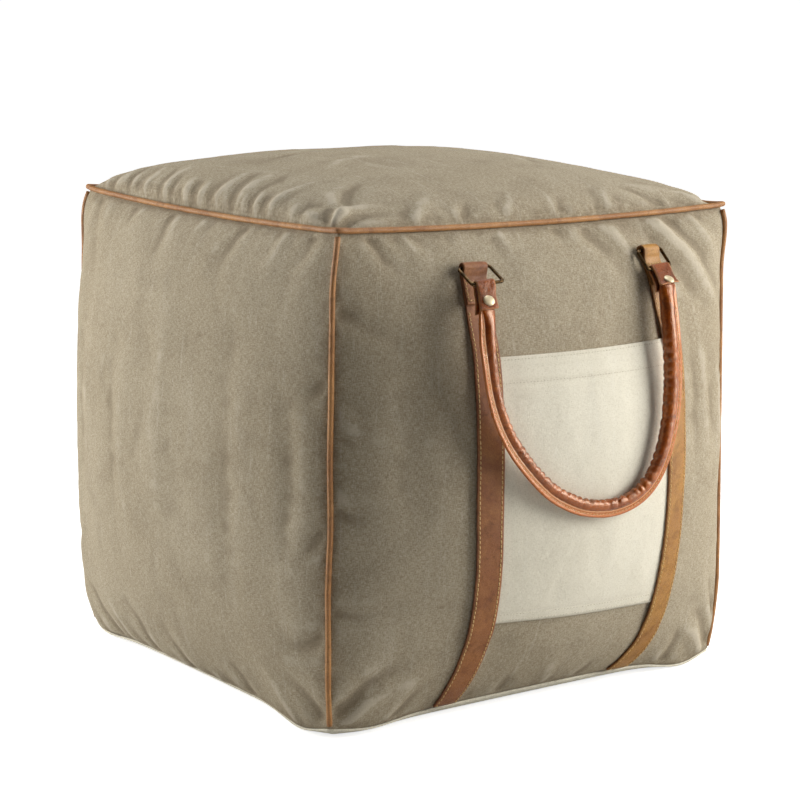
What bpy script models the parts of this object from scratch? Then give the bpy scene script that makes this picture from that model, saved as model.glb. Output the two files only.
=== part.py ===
"""Cube pouf stool: a stuffed canvas cube with leather piping, two leather
straps that end in ring loops, a cream canvas pocket between them and a rolled
leather handle hung from the two rings.

Metres, +Z up.  Origin: the middle of the flat resting face of the base
panel.  The front face (straps, pocket, handle) looks along -Y, +X is to the
right of it.
"""
import math

import bmesh
import bpy
import numpy as np
from mathutils import Vector
from mathutils.bvhtree import BVHTree

# --------------------------------------------------------------------------
# driving dimensions
# --------------------------------------------------------------------------
HALF = 0.2185            # half the cube's width at the seams
SEAM_TOP = 0.4425        # height of the top seam at its corners
CROWN = 0.0540           # rise of the top panel's middle over the seam
CROWN_POWER = 0.45       # fullness of the crown near the seam
SIDE_POWER_ACROSS = 0.85  # fullness of a side's belly towards its upright seams
SIDE_POWER_UP = 0.75     # fullness of a side's belly towards top and bottom seams
TOP_SAG = 0.0045         # the top seam hangs this much between its corners
BOTTOM_LIFT = 0.0030     # the bottom seam is this much higher between corners
UPRIGHT_BOW_POWER = 3.5  # the upright seams bow out along most of their height

GRID = 16                # cells along each panel edge

BASE_THICK = 0.0020      # base panel canvas
GAP = 0.0004             # gap kept between neighbouring pieces
BASE_FLAT = 0.8315       # part of the half width over which the base lies flat
BASE_WAIST = 0.006       # the flat face draws in this much between its corners

PIPING_R = 0.0025        # leather piping radius
PIPING_SIDES = 8

STRAP_W = 0.0255
STRAP_T = 0.0020
STRAP_LIFT = 0.0018      # how much the strap rides up where it covers the pocket
LOOP_R = 0.0036          # middle radius of the rolled loop at the strap's top
FOLD_BACK = 0.030        # length of the folded-back end on the strap's front

POCKET_T = 0.0014
POCKET_TOP = 0.506       # panel height coordinate of the pocket's top edge
POCKET_BOTTOM_LEFT = -0.606
POCKET_BOTTOM_RIGHT = -0.655

RING_WIRE_R = 0.0015
RING_W = 0.0310          # between the middles of the two upright bars
RING_CORNER = 0.0032

TAB_T = 0.0018
TAB_W_TOP = 0.0205
TAB_W_END = 0.0255

RIVET_R = 0.0050
RIVET_H = 0.0019

HANDLE_R = 0.0068        # radius of the rolled part
FLANGE_REACH = 0.0058    # flat sewn edge, beyond the roll
FLANGE_HALF_T = 0.0017

# corners: plan position and heights, each a little off square as sewn
CORNER_COLUMNS = ("x_low", "y_low", "z_low", "x_top", "y_top", "z_top", "bow")
CORNERS = {
    "front_left":  (-HALF - 0.0020, -HALF + 0.0015, 0.0115,
                    -HALF + 0.0040, -HALF - 0.0030, SEAM_TOP + 0.0015, 0.0060),
    "front_right": (HALF + 0.0010, -HALF, 0.0105,
                    HALF + 0.0030, -HALF - 0.0010, SEAM_TOP - 0.0030, 0.0080),
    "back_right":  (HALF, HALF, 0.0110,
                    HALF - 0.0010, HALF - 0.0010, SEAM_TOP, 0.0070),
    "back_left":   (-HALF, HALF, 0.0100,
                    -HALF + 0.0045, HALF - 0.0030, SEAM_TOP + 0.0030, 0.0110),
}
# side panels: the corner on the left and on the right as seen from outside,
# the way the panel faces, and how far its middle bellies out
SIDE_COLUMNS = ("left", "right", "facing", "belly")
SIDES = {
    "front": ("front_left", "front_right", (0.0, -1.0, 0.0), 0.068),
    "right": ("front_right", "back_right", (1.0, 0.0, 0.0), 0.054),
    "back":  ("back_right", "back_left", (0.0, 1.0, 0.0), 0.056),
    "left":  ("back_left", "front_left", (-1.0, 0.0, 0.0), 0.047),
}
# straps: middle line on the front panel, across coordinate at each height
STRAP_COLUMNS = ("up", "across")
STRAP_LINES = {
    "strap_left":  ((0.885, -0.419), (0.50, -0.430), (0.05, -0.431), (-0.40, -0.407),
                    (-0.75, -0.404), (-0.985, -0.434)),
    "strap_right": ((0.885, 0.530), (0.50, 0.546), (0.0, 0.552), (-0.45, 0.566),
                    (-0.66, 0.566), (-0.84, 0.545), (-0.985, 0.480)),
}
# rings: how the ring's far bar lies from the bar in the loop
RING_COLUMNS = ("sideways", "outwards", "down", "turn_deg")
RINGS = {
    "left":  (-0.0015, 0.0245, 0.0140, -2.0),
    "right": (-0.0040, 0.0205, 0.0180, 4.0),
}
# tabs: shift along the ring's far bar, and where the tab's end lies from the bar
TAB_COLUMNS = ("shift", "sideways", "outwards", "down")
TABS = {
    "left":  (-0.0010, -0.0052, 0.0150, 0.0270),
    "right": (-0.0015, -0.0070, 0.0140, 0.0270),
}
# handle: middle of its whole width, hanging as a U in front of the panel
HANDLE_COLUMNS = ("x", "z")
HANDLE_LINE = (
    (-0.1024, 0.3510), (-0.0998, 0.3144), (-0.0940, 0.2883), (-0.0857, 0.2681),
    (-0.0742, 0.2500), (-0.0573, 0.2303), (-0.0400, 0.2144), (-0.0234, 0.2043),
    (-0.0052, 0.1965), (0.0149, 0.1929), (0.0326, 0.1929), (0.0496, 0.1970),
    (0.0650, 0.2054), (0.0762, 0.2175), (0.0849, 0.2343), (0.0920, 0.2537),
    (0.0977, 0.2764), (0.1011, 0.3051), (0.1015, 0.3400),
)
# how far out the handle hangs at each height
HANDLE_OUT = ((0.20, -0.3000), (0.24, -0.3000), (0.30, -0.2935), (0.35, -0.2890), (0.38, -0.2850))


# --------------------------------------------------------------------------
# start from an empty scene
# --------------------------------------------------------------------------
for old in list(bpy.data.objects):
    bpy.data.objects.remove(old, do_unlink=True)


def make_material(name, colour, roughness, metallic=0.0):
    mat = bpy.data.materials.new(name)
    mat.use_nodes = True
    shader = mat.node_tree.nodes["Principled BSDF"]
    shader.inputs["Base Color"].default_value = (*colour, 1.0)
    shader.inputs["Roughness"].default_value = roughness
    shader.inputs["Metallic"].default_value = metallic
    mat.diffuse_color = (*colour, 1.0)
    return mat


CANVAS = (0.36, 0.31, 0.23)
CREAM = (0.66, 0.62, 0.50)
TAN = (0.36, 0.15, 0.06)
COGNAC = (0.42, 0.13, 0.04)
BRASS = (0.22, 0.17, 0.10)


def add_object(name, bm, colour, roughness, metallic=0.0, smooth=True):
    """Close, orient and link one mesh as one named object."""
    bmesh.ops.remove_doubles(bm, verts=bm.verts[:], dist=1e-6)
    bmesh.ops.recalc_face_normals(bm, faces=bm.faces[:])
    if bm.calc_volume(signed=True) < 0.0:
        bmesh.ops.reverse_faces(bm, faces=bm.faces[:])
    mesh = bpy.data.meshes.new(name)
    bm.to_mesh(mesh)
    bm.free()
    if smooth:
        mesh.shade_smooth()
        mesh.set_sharp_from_angle(angle=math.radians(40.0))
    mesh.materials.append(make_material(name + "_finish", colour, roughness, metallic))
    obj = bpy.data.objects.new(name, mesh)
    bpy.context.scene.collection.objects.link(obj)
    return obj


def add_grid(bm, points, flip=False):
    """A quad grid; points is an array of rows of positions."""
    rows = [[bm.verts.new(Vector(p)) for p in row] for row in points]
    for i in range(len(rows) - 1):
        for j in range(len(rows[0]) - 1):
            quad = [rows[i][j], rows[i][j + 1], rows[i + 1][j + 1], rows[i + 1][j]]
            bm.faces.new(quad[::-1] if flip else quad)
    return rows


def shell_mesh(under, over):
    """A closed sheet between two grids of the same size."""
    bm = bmesh.new()
    a = add_grid(bm, under, flip=True)
    b = add_grid(bm, over)
    m, n = len(a), len(a[0])
    rim = ([(0, j) for j in range(n)] + [(i, n - 1) for i in range(1, m)]
           + [(m - 1, j) for j in range(n - 2, -1, -1)] + [(i, 0) for i in range(m - 2, 0, -1)])
    for k, (i, j) in enumerate(rim):
        p, q = rim[(k + 1) % len(rim)]
        bm.faces.new([a[i][j], a[p][q], b[p][q], b[i][j]])
    return bm


def tube_mesh(path, sections, closed=False):
    """Skin a tube; sections[k] is the list of positions round path[k]."""
    bm = bmesh.new()
    rings = [[bm.verts.new(Vector(p)) for p in ring] for ring in sections]
    count, sides = len(rings), len(rings[0])
    for k in range(count if closed else count - 1):
        a, b = rings[k], rings[(k + 1) % count]
        for j in range(sides):
            j2 = (j + 1) % sides
            bm.faces.new([a[j], a[j2], b[j2], b[j]])
    if not closed:
        bm.faces.new(rings[0][::-1])
        bm.faces.new(rings[-1])
    return bm


def unit(v):
    v = np.asarray(v, float)
    return v / np.linalg.norm(v)


def smoothstep(x):
    x = min(max(x, 0.0), 1.0)
    return x * x * (3.0 - 2.0 * x)


def table_value(table, x):
    """Smooth reading of a two-column table whose first column falls or rises."""
    rows = sorted(table)
    xs = [r[0] for r in rows]
    ys = [r[1] for r in rows]
    return float(np.interp(x, xs, ys))


def catmull(points, per_span):
    """A smooth curve through the points, per_span steps between neighbours."""
    pts = [np.asarray(p, float) for p in points]
    pts = [2 * pts[0] - pts[1]] + pts + [2 * pts[-1] - pts[-2]]
    out = []
    for i in range(1, len(pts) - 2):
        p0, p1, p2, p3 = pts[i - 1:i + 3]
        for k in range(per_span):
            t = k / per_span
            out.append(0.5 * ((2 * p1) + (p2 - p0) * t + (2 * p0 - 5 * p1 + 4 * p2 - p3) * t * t
                              + (3 * p1 - p0 - 3 * p2 + p3) * t ** 3))
    out.append(pts[-2])
    return out


# --------------------------------------------------------------------------
# the stuffed cube's surfaces
# --------------------------------------------------------------------------
def corner(name, top):
    row = CORNERS[name]
    return np.array(row[3:6] if top else row[0:3])


def bottom_seam(side, s):
    a, b = SIDES[side][:2]
    u = (s + 1.0) / 2.0
    lift = BOTTOM_LIFT * (1.0 - s * s)
    return corner(a, False) * (1 - u) + corner(b, False) * u + np.array((0, 0, lift))


def top_seam(side, s):
    a, b = SIDES[side][:2]
    u = (s + 1.0) / 2.0
    sag = TOP_SAG * (1.0 - s * s)
    return corner(a, True) * (1 - u) + corner(b, True) * u - np.array((0, 0, sag))


def upright_seam(name, t):
    v = (t + 1.0) / 2.0
    low, high = corner(name, False), corner(name, True)
    out = unit((math.copysign(1, low[0]), math.copysign(1, low[1]), 0.0))
    return low * (1 - v) + high * v + out * CORNERS[name][6] * (1.0 - abs(t) ** UPRIGHT_BOW_POWER)


def side_point(side, s, t, out=0.0):
    """Point of a side panel: s runs -1..1 across, t -1..1 up, both seen from outside."""
    a, b, facing, belly = SIDES[side]
    u, v = (s + 1.0) / 2.0, (t + 1.0) / 2.0
    base = ((1 - v) * bottom_seam(side, s) + v * top_seam(side, s)
            + (1 - u) * upright_seam(a, t) + u * upright_seam(b, t)
            - (1 - u) * (1 - v) * corner(a, False) - u * (1 - v) * corner(b, False)
            - (1 - u) * v * corner(a, True) - u * v * corner(b, True))
    swell = (max(1 - s * s, 0.0) ** SIDE_POWER_ACROSS) * (max(1 - t * t, 0.0) ** SIDE_POWER_UP)
    return base + np.array(facing) * (belly * swell + out)


def side_frame(side, s, t):
    """Outward normal and upward tangent of a side panel at (s, t)."""
    e = 0.004
    across = side_point(side, s + e, t) - side_point(side, s - e, t)
    up = side_point(side, s, min(t + e, 1.0)) - side_point(side, s, max(t - e, -1.0))
    normal = unit(np.cross(across, up))
    return normal, unit(up), np.linalg.norm(across) / (2 * e)


def plan_blend(curve_front, curve_right, curve_back, curve_left, corners, s, t):
    u, v = (s + 1.0) / 2.0, (t + 1.0) / 2.0
    fl, fr, br, bl = corners
    return ((1 - v) * curve_front(s) + v * curve_back(-s) + (1 - u) * curve_left(-t)
            + u * curve_right(t) - (1 - u) * (1 - v) * fl - u * (1 - v) * fr - u * v * br
            - (1 - u) * v * bl)


ORDER = ("front_left", "front_right", "back_right", "back_left")


def crown_point(s, t):
    """Point of the top panel: s along X, t along Y."""
    p = plan_blend(lambda q: top_seam("front", q), lambda q: top_seam("right", q),
                   lambda q: top_seam("back", q), lambda q: top_seam("left", q),
                   [corner(n, True) for n in ORDER], s, t)
    swell = (max(1 - s * s, 0.0) * max(1 - t * t, 0.0)) ** CROWN_POWER
    return p + np.array((0, 0, CROWN * swell))


def underside_point(s, t, drop=0.0):
    """Point of the cube's underside, flat but for its rolled-up rim."""
    p = plan_blend(lambda q: bottom_seam("front", q), lambda q: bottom_seam("right", q),
                   lambda q: bottom_seam("back", q), lambda q: bottom_seam("left", q),
                   [corner(n, False) for n in ORDER], s, t)
    m = max(abs(s), abs(t))
    rise = max(0.0, (m - BASE_FLAT) / (1.0 - BASE_FLAT)) ** 2
    level = BASE_THICK + GAP
    p[2] = level + (p[2] - level) * rise - drop
    q = min(abs(s), abs(t)) / max(m, 1e-6)
    draw = BASE_WAIST * (1.0 - q * q) * min((1.0 - m) / (1.0 - BASE_FLAT), 1.0)
    p[0], p[1] = p[0] * (1.0 - draw), p[1] * (1.0 - draw)
    return p


steps = [math.sin(math.pi / 2 * (2.0 * k / GRID - 1.0)) for k in range(GRID + 1)]

# pouf_body: five canvas panels sewn into one filled form
bm = bmesh.new()
for side in SIDES:
    add_grid(bm, [[side_point(side, s, t) for s in steps] for t in steps])
add_grid(bm, [[crown_point(s, t) for s in steps] for t in steps])
add_grid(bm, [[underside_point(s, t) for s in steps] for t in steps], flip=True)
bmesh.ops.remove_doubles(bm, verts=bm.verts[:], dist=1e-6)
bmesh.ops.triangulate(bm, faces=bm.faces[:])
bm.normal_update()
body_tree = BVHTree.FromBMesh(bm)
add_object("pouf_body", bm, CANVAS, 0.9)

# base_panel: cream canvas under the cube, flat in the middle
under = [[underside_point(s * 0.997, t * 0.997, GAP + BASE_THICK) for s in steps] for t in steps]
over = [[underside_point(s * 0.997, t * 0.997, GAP) for s in steps] for t in steps]
for row in under:
    for p in row:
        p[2] = max(p[2], 0.0)
add_object("base_panel", shell_mesh(under, over), CREAM, 0.9)


# --------------------------------------------------------------------------
# piping
# --------------------------------------------------------------------------
def push_clear(p, out, need):
    """Move p along out until the cube's surface is at least need away."""
    p = Vector(p)
    out = Vector(out)
    for _ in range(12):
        hit, normal, index, dist = body_tree.find_nearest(p)
        if dist >= need:
            break
        p = p + out * max(need - dist, 0.0001)
    return np.array(p)


def round_sections(path, radius, sides, closed, up_hint=(0, 0, 1)):
    """Circles round a path, kept from turning about it."""
    count = len(path)
    rings, ref = [], None
    for k in range(count):
        if closed:
            d = unit(path[(k + 1) % count] - path[k - 1])
        else:
            d = unit(path[min(k + 1, count - 1)] - path[max(k - 1, 0)])
        if ref is None:
            ref = np.array(up_hint, float)
        ref = unit(ref - d * np.dot(ref, d))
        other = np.cross(d, ref)
        rings.append([path[k] + radius * (math.cos(a) * ref + math.sin(a) * other)
                      for a in [2 * math.pi * j / sides for j in range(sides)]])
    return rings


NEED = PIPING_R + GAP + 0.00015
path = []
side_cycle = ("front", "right", "back", "left")
straight = [math.sin(math.pi / 2 * (2.0 * k / 14 - 1.0)) for k in range(15)]
for side in side_cycle:
    facing = np.array(SIDES[side][2])
    for s in straight[1:-1]:
        out = unit(facing + np.array((0, 0, 0.9)))
        path.append(push_clear(top_seam(side, s) + out * NEED, out, NEED))
    # turn the corner in a small arc
    turn_from = facing
    turn_to = np.array(SIDES[side_cycle[(side_cycle.index(side) + 1) % 4]][2])
    at = corner(SIDES[side][1], True)
    for w in (0.12, 0.5, 0.88):
        flat = unit(turn_from * (1 - w) + turn_to * w)
        out = unit(flat + np.array((0, 0, 0.9)))
        path.append(push_clear(at + out * (NEED + 0.0012), out, NEED))
add_object("piping_top", tube_mesh(path, round_sections(path, PIPING_R, PIPING_SIDES, True), True),
           TAN, 0.5)

for name in ORDER:
    low = corner(name, False)
    out = unit((math.copysign(1, low[0]), math.copysign(1, low[1]), 0.0))
    stops = [-0.985 + (0.9895 + 0.985) * k / 18 for k in range(19)]
    line = [push_clear(upright_seam(name, t) + out * NEED, out, NEED) for t in stops]
    add_object("piping_" + name, tube_mesh(line, round_sections(line, PIPING_R, PIPING_SIDES,
                                                               False, (1, 0, 0))), TAN, 0.5)


# --------------------------------------------------------------------------
# pocket and straps on the front panel
# --------------------------------------------------------------------------
def strap_middle(name, t):
    return table_value(STRAP_LINES[name], t)


def pocket_grid(out):
    rows = []
    count = 12
    for i in range(count + 1):
        row = []
        for j in range(count + 1):
            w = j / count
            low = POCKET_BOTTOM_LEFT * (1 - w) + POCKET_BOTTOM_RIGHT * w
            t = low + (POCKET_TOP - low) * i / count
            s0, s1 = strap_middle("strap_left", t), strap_middle("strap_right", t)
            s = s0 + (s1 - s0) * w
            normal = side_frame("front", s, t)[0]
            row.append(side_point("front", s, t) + normal * out)
        rows.append(row)
    return rows


add_object("pocket", shell_mesh(pocket_grid(GAP), pocket_grid(GAP + POCKET_T)), CREAM, 0.9)


def strap_offset(name, t):
    """Height of the strap's underside over the panel; it rides over the pocket."""
    low = POCKET_BOTTOM_LEFT if name == "strap_left" else POCKET_BOTTOM_RIGHT
    over = smoothstep((POCKET_TOP + 0.085 - t) / 0.06) * smoothstep((t - low + 0.085) / 0.06)
    return GAP + 0.0001 + STRAP_LIFT * over


def strap_bases(name, t, width=STRAP_W, count=3):
    """Points across the strap on the panel's surface, with the frame there."""
    s = strap_middle(name, t)
    normal, up, per_s = side_frame("front", s, t)
    return ([side_point("front", s + (w - 0.5) * width / per_s, t)
             for w in [j / (count - 1) for j in range(count)]], normal, up)


def make_strap(name):
    centre, thick = [], []         # rows of points, and which way the thickness goes
    stops = [-0.985, -0.975, -0.955, -0.93, -0.895, -0.85, -0.80, -0.745]
    stops += [-0.745 + (0.60 + 0.745) * k / 26 for k in range(1, 27)]
    stops += [0.64, 0.68, 0.72, 0.76, 0.80, 0.84, 0.885]
    for t in stops:
        bases, normal, up = strap_bases(name, t)
        lift = strap_offset(name, t) + STRAP_T / 2
        centre.append([b + normal * lift for b in bases])
        thick.append(normal)
    bases, normal, up = strap_bases(name, 0.885)
    h0 = strap_offset(name, 0.885) + STRAP_T / 2
    middle = h0 + LOOP_R
    # round the ring's bar, from the back over the top to the front
    for deg in (155, 130, 105, 80, 55, 30, 5, -20, -45):
        a = math.radians(deg)
        radial = normal * math.cos(a) + up * math.sin(a)
        centre.append([b + normal * middle + radial * LOOP_R for b in bases])
        thick.append(-radial)
    # down to the strap's own front and along it
    fold = h0 + STRAP_T + GAP
    for un, ut, deg in ((middle + 0.0012, -0.0050, 218), (fold + 0.0008, -0.0072, 205)):
        a = math.radians(deg)
        centre.append([b + normal * un + up * ut for b in bases])
        thick.append(unit(normal * math.cos(a) + up * math.sin(a)))
    length = FOLD_BACK
    for k in range(1, 6):
        drop = 0.0095 + (length - 0.0095) * (k - 1) / 4
        t = 0.885 - drop / 0.216
        b2, n2, u2 = strap_bases(name, t)
        lift = strap_offset(name, t) + STRAP_T * 1.5 + GAP + 0.0001
        centre.append([b + n2 * lift for b in b2])
        thick.append(-n2)
    under = [[p - n * STRAP_T / 2 for p in row] for row, n in zip(centre, thick)]
    over = [[p + n * STRAP_T / 2 for p in row] for row, n in zip(centre, thick)]
    add_object(name, shell_mesh(under, over), TAN, 0.55)
    ring_at = sum(bases) / len(bases) + normal * middle
    across = unit(bases[-1] - bases[0])
    return ring_at, across


# --------------------------------------------------------------------------
# rings, tabs, rivets
# --------------------------------------------------------------------------
def ring_frame(which, at, across):
    sideways, outwards, down, turn = RINGS[which]
    fall = np.array((sideways, -outwards, -down))
    reach = np.linalg.norm(fall)
    fall = fall / reach
    wide = unit(across - fall * np.dot(across, fall))
    a = math.radians(turn)
    side = np.cross(fall, wide)
    wide2 = unit(across * 1.0 + np.array((0, 0, math.tan(a))))
    fall = unit(fall - wide2 * np.dot(fall, wide2))
    return wide2, fall, reach


def make_ring(which, at, wide, fall, reach):
    """A rectangular wire ring: its first bar's middle is at 'at'."""
    r = RING_CORNER
    path = []
    corners = ((RING_W / 2 - r, r, -90), (RING_W / 2 - r, reach - r, 0),
               (-RING_W / 2 + r, reach - r, 90), (-RING_W / 2 + r, r, 180))
    for cx, cy, start in corners:
        for k in range(5):
            a = math.radians(start + 90 * k / 4)
            path.append(at + wide * (cx + r * math.cos(a)) + fall * (cy + r * math.sin(a)))
    sections = round_sections(path, RING_WIRE_R, 8, True, np.cross(wide, fall))
    add_object("ring_" + which, tube_mesh(path, sections, True), BRASS, 0.35, 0.9)


def make_tab(which, bar, wide):
    """Leather strip folded over the ring's far bar, its two ends facing each other."""
    shift, sideways, outwards, down = TABS[which]
    top = bar + wide * shift
    run = np.array((sideways, -outwards, -down))
    length = np.linalg.norm(run)
    run = run / length
    across = wide                                     # the fold lies along the bar
    face = unit(np.cross(across, run))
    if face[1] > 0:
        face = -face
    rise = unit(run - across * np.dot(run, across))
    inner = RING_WIRE_R + 0.0006
    mid = inner + TAB_T / 2
    profile = ((0.0, inner), (0.006, 0.0030), (0.012, 0.0038), (length, 0.0070))
    centre, thick, widths = [], [], []
    stops = [length * k / 8 for k in range(8, 0, -1)]

    def half_gap(d):
        return table_value(profile, d)

    def width_at(d):
        return TAB_W_TOP + (TAB_W_END - TAB_W_TOP) * smoothstep((d - 0.008) / (length - 0.008))

    for d in stops:                                   # back layer, upwards
        centre.append(top + run * d - face * (half_gap(d) + TAB_T / 2))
        thick.append(-face)
        widths.append(width_at(d))
    for deg in (180, 145, 110, 90, 70, 35, 0):        # over the bar
        a = math.radians(deg)
        radial = unit(face * math.cos(a) - rise * math.sin(a))
        centre.append(top + radial * mid)
        thick.append(radial)
        widths.append(TAB_W_TOP)
    for d in stops[::-1]:                             # front layer, downwards
        centre.append(top + run * d + face * (half_gap(d) + TAB_T / 2))
        thick.append(face)
        widths.append(width_at(d))
    rows = [[c + across * w * (j / 2 - 0.5) for j in range(3)] for c, w in zip(centre, widths)]
    under = [[p - n * TAB_T / 2 for p in row] for row, n in zip(rows, thick)]
    over = [[p + n * TAB_T / 2 for p in row] for row, n in zip(rows, thick)]
    add_object("tab_" + which, shell_mesh(under, over), COGNAC, 0.4)
    # rivet cap on the front layer
    d = 0.0205
    slope = (half_gap(d + 0.003) - half_gap(d - 0.003)) / 0.006
    skin = unit(face - rise * slope)
    along = unit(np.cross(skin, across))
    at = top + run * d + face * (half_gap(d) + TAB_T / 2) + skin * (TAB_T / 2 + GAP + 0.0002)
    bm = bmesh.new()
    rings = []
    for frac, height in ((1.0, 0.0), (1.0, 0.0007), (0.86, 0.0013), (0.55, 0.0018)):
        rings.append([bm.verts.new(Vector(at + skin * height + RIVET_R * frac
                      * (math.cos(a) * across + math.sin(a) * along)))
                      for a in [2 * math.pi * j / 20 for j in range(20)]])
    for a, b in zip(rings, rings[1:]):
        for j in range(20):
            bm.faces.new([a[j], a[(j + 1) % 20], b[(j + 1) % 20], b[j]])
    bm.faces.new(rings[0][::-1])
    tip = bm.verts.new(Vector(at + skin * RIVET_H))
    for j in range(20):
        bm.faces.new([rings[-1][j], rings[-1][(j + 1) % 20], tip])
    add_object("rivet_" + which, bm, (0.75, 0.62, 0.42), 0.25, 1.0)
    return top, run, across, face, length


hold = {}
for which in ("left", "right"):
    at, across = make_strap("strap_" + which)
    wide, fall, reach = ring_frame(which, at, across)
    make_ring(which, at, wide, fall, reach)
    hold[which] = make_tab(which, at + fall * reach, wide)


# --------------------------------------------------------------------------
# handle
# --------------------------------------------------------------------------
def handle_point(x, z):
    return np.array((x, table_value(HANDLE_OUT, z), z))


def make_handle():
    points = []
    top, run, across, face, length = hold["left"]
    for d in (0.0145, 0.0220, length):
        points.append(top + run * d)
    points += [handle_point(x, z) for x, z in HANDLE_LINE]
    top2, run2, across2, face2, length2 = hold["right"]
    for d in (length2, 0.0220, 0.0145):
        points.append(top2 + run2 * d)
    path = catmull(points, 2)
    count = len(path)
    dist = [0.0]
    for a, b in zip(path, path[1:]):
        dist.append(dist[-1] + float(np.linalg.norm(b - a)))
    total = dist[-1]
    depth_table = ((0.0, 0.0028), (0.008, 0.0034), (0.0165, 0.0055), (0.026, HANDLE_R), (1.0, HANDLE_R))
    width_table = ((0.0, 0.0080), (0.008, 0.0084), (0.0165, 0.0080), (0.026, HANDLE_R), (1.0, HANDLE_R))
    flange_table = ((0.0, 0.0), (0.010, 0.0), (0.022, 0.7), (0.040, 1.0), (1.0, 1.0))
    middle = np.array((0.0, 0.0, 0.33))
    sections = []
    for k in range(count):
        d = unit(path[min(k + 1, count - 1)] - path[max(k - 1, 0)])
        out = unit(np.array((0, -1.0, 0)) - d * np.dot((0, -1.0, 0), d))
        lateral = np.cross(d, out)                    # away from the U's inside
        if np.dot(lateral, path[k] - middle) < 0:
            lateral = -lateral
        end = min(dist[k], total - dist[k])
        hd, hw = table_value(depth_table, end), table_value(width_table, end)
        fl = table_value(flange_table, end)
        centre = path[k] - lateral * FLANGE_REACH * 0.5 * fl
        ring = []
        for deg in (35, 60, 90, 120, 150, 180, 210, 240, 270, 300, 325):
            a = math.radians(deg)
            ring.append(centre + lateral * hw * math.cos(a) + out * hd * math.sin(a))
        reach = hw + FLANGE_REACH * fl
        root = hw * math.cos(math.radians(20)) * (1 - fl) + (hw + 0.0006) * fl
        half = FLANGE_HALF_T * fl + hd * math.sin(math.radians(20)) * (1 - fl)
        ring.append(centre + lateral * root - out * half)
        ring.append(centre + lateral * max(reach, root + 0.0003) - out * half * (0.8 if fl > 0.5 else 0.5))
        ring.append(centre + lateral * max(reach, root + 0.0003) + out * half * (0.8 if fl > 0.5 else 0.5))
        ring.append(centre + lateral * root + out * half)
        sections.append(ring)
    add_object("handle", tube_mesh(path, sections, False), COGNAC, 0.3)


make_handle()
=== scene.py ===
"""Looks of the cube pouf stool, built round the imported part."""
import math

import bpy
import bmesh
import numpy as np
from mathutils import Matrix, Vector


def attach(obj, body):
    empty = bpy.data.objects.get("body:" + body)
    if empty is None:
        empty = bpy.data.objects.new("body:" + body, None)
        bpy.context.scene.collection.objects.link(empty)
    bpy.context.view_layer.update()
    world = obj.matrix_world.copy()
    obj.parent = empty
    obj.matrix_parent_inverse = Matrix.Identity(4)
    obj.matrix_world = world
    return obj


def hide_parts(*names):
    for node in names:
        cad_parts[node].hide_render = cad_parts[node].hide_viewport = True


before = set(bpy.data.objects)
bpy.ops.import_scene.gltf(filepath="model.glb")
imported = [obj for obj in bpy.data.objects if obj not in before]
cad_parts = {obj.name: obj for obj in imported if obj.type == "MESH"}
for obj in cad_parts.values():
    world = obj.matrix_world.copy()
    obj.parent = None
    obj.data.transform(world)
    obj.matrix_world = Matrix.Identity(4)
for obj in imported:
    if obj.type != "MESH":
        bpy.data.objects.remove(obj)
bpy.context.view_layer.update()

rng = np.random.default_rng(7)

# --------------------------------------------------------------------------
# the pouf's sizes, as in part.py
# --------------------------------------------------------------------------
HALF = 0.2185
SEAM_TOP = 0.4425
CROWN = 0.0540
CROWN_POWER = 0.45
TOP_SAG = 0.0045
BOTTOM_LIFT = 0.0030
BOW_POWER_TOP = 12.0
BOW_POWER_LOW = 7.0
CROWN_POWER_LEFT = 0.31
EDGE_REACH = 0.055
BASE_THICK = 0.0020
GAP = 0.0004
BASE_FLAT = 0.8315
BASE_WAIST = 0.006
PIPING_R = 0.0025
STRAP_W = 0.0255
STRAP_T = 0.0020
STRAP_LIFT = 0.0018
LOOP_R = 0.0036
FOLD_BACK = 0.030
POCKET_T = 0.0014
POCKET_TOP = 0.506
POCKET_BOTTOM_LEFT = -0.606
POCKET_BOTTOM_RIGHT = -0.655
RING_WIRE_R = 0.0015
RING_W = 0.0310
RING_CORNER = 0.0032
TAB_T = 0.0018
TAB_W_TOP = 0.0205
TAB_W_END = 0.0255
RIVET_R = 0.0050
HANDLE_R = 0.0068
FLANGE_REACH = 0.0058

# plan position and heights of each corner, how far its upright seam bows out,
# and how deep that seam sits between the two bulging panels: top, middle, bottom
CORNERS = {
    "front_left":  (-HALF - 0.0027, -HALF + 0.0008, 0.0115,
                    -HALF + 0.0080, -HALF - 0.0030, SEAM_TOP + 0.0015, 0.0060, (0.0015, 0.0030, 0.0080)),
    "front_right": (HALF + 0.0062, -HALF - 0.0052, 0.0105,
                    HALF + 0.0030, -HALF - 0.0010, SEAM_TOP - 0.0030, 0.0085, (0.0010, 0.0088, 0.0080)),
    "back_right":  (HALF + 0.0020, HALF + 0.0020, 0.0110,
                    HALF - 0.0010, HALF - 0.0010, SEAM_TOP, 0.0070, (0.0030, 0.0060, 0.0100)),
    "back_left":   (-HALF - 0.0035, HALF + 0.0035, 0.0100,
                    -HALF + 0.0045, HALF - 0.0030, SEAM_TOP + 0.0030, 0.0115, (0.0045, 0.0095, 0.0105)),
}
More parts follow.
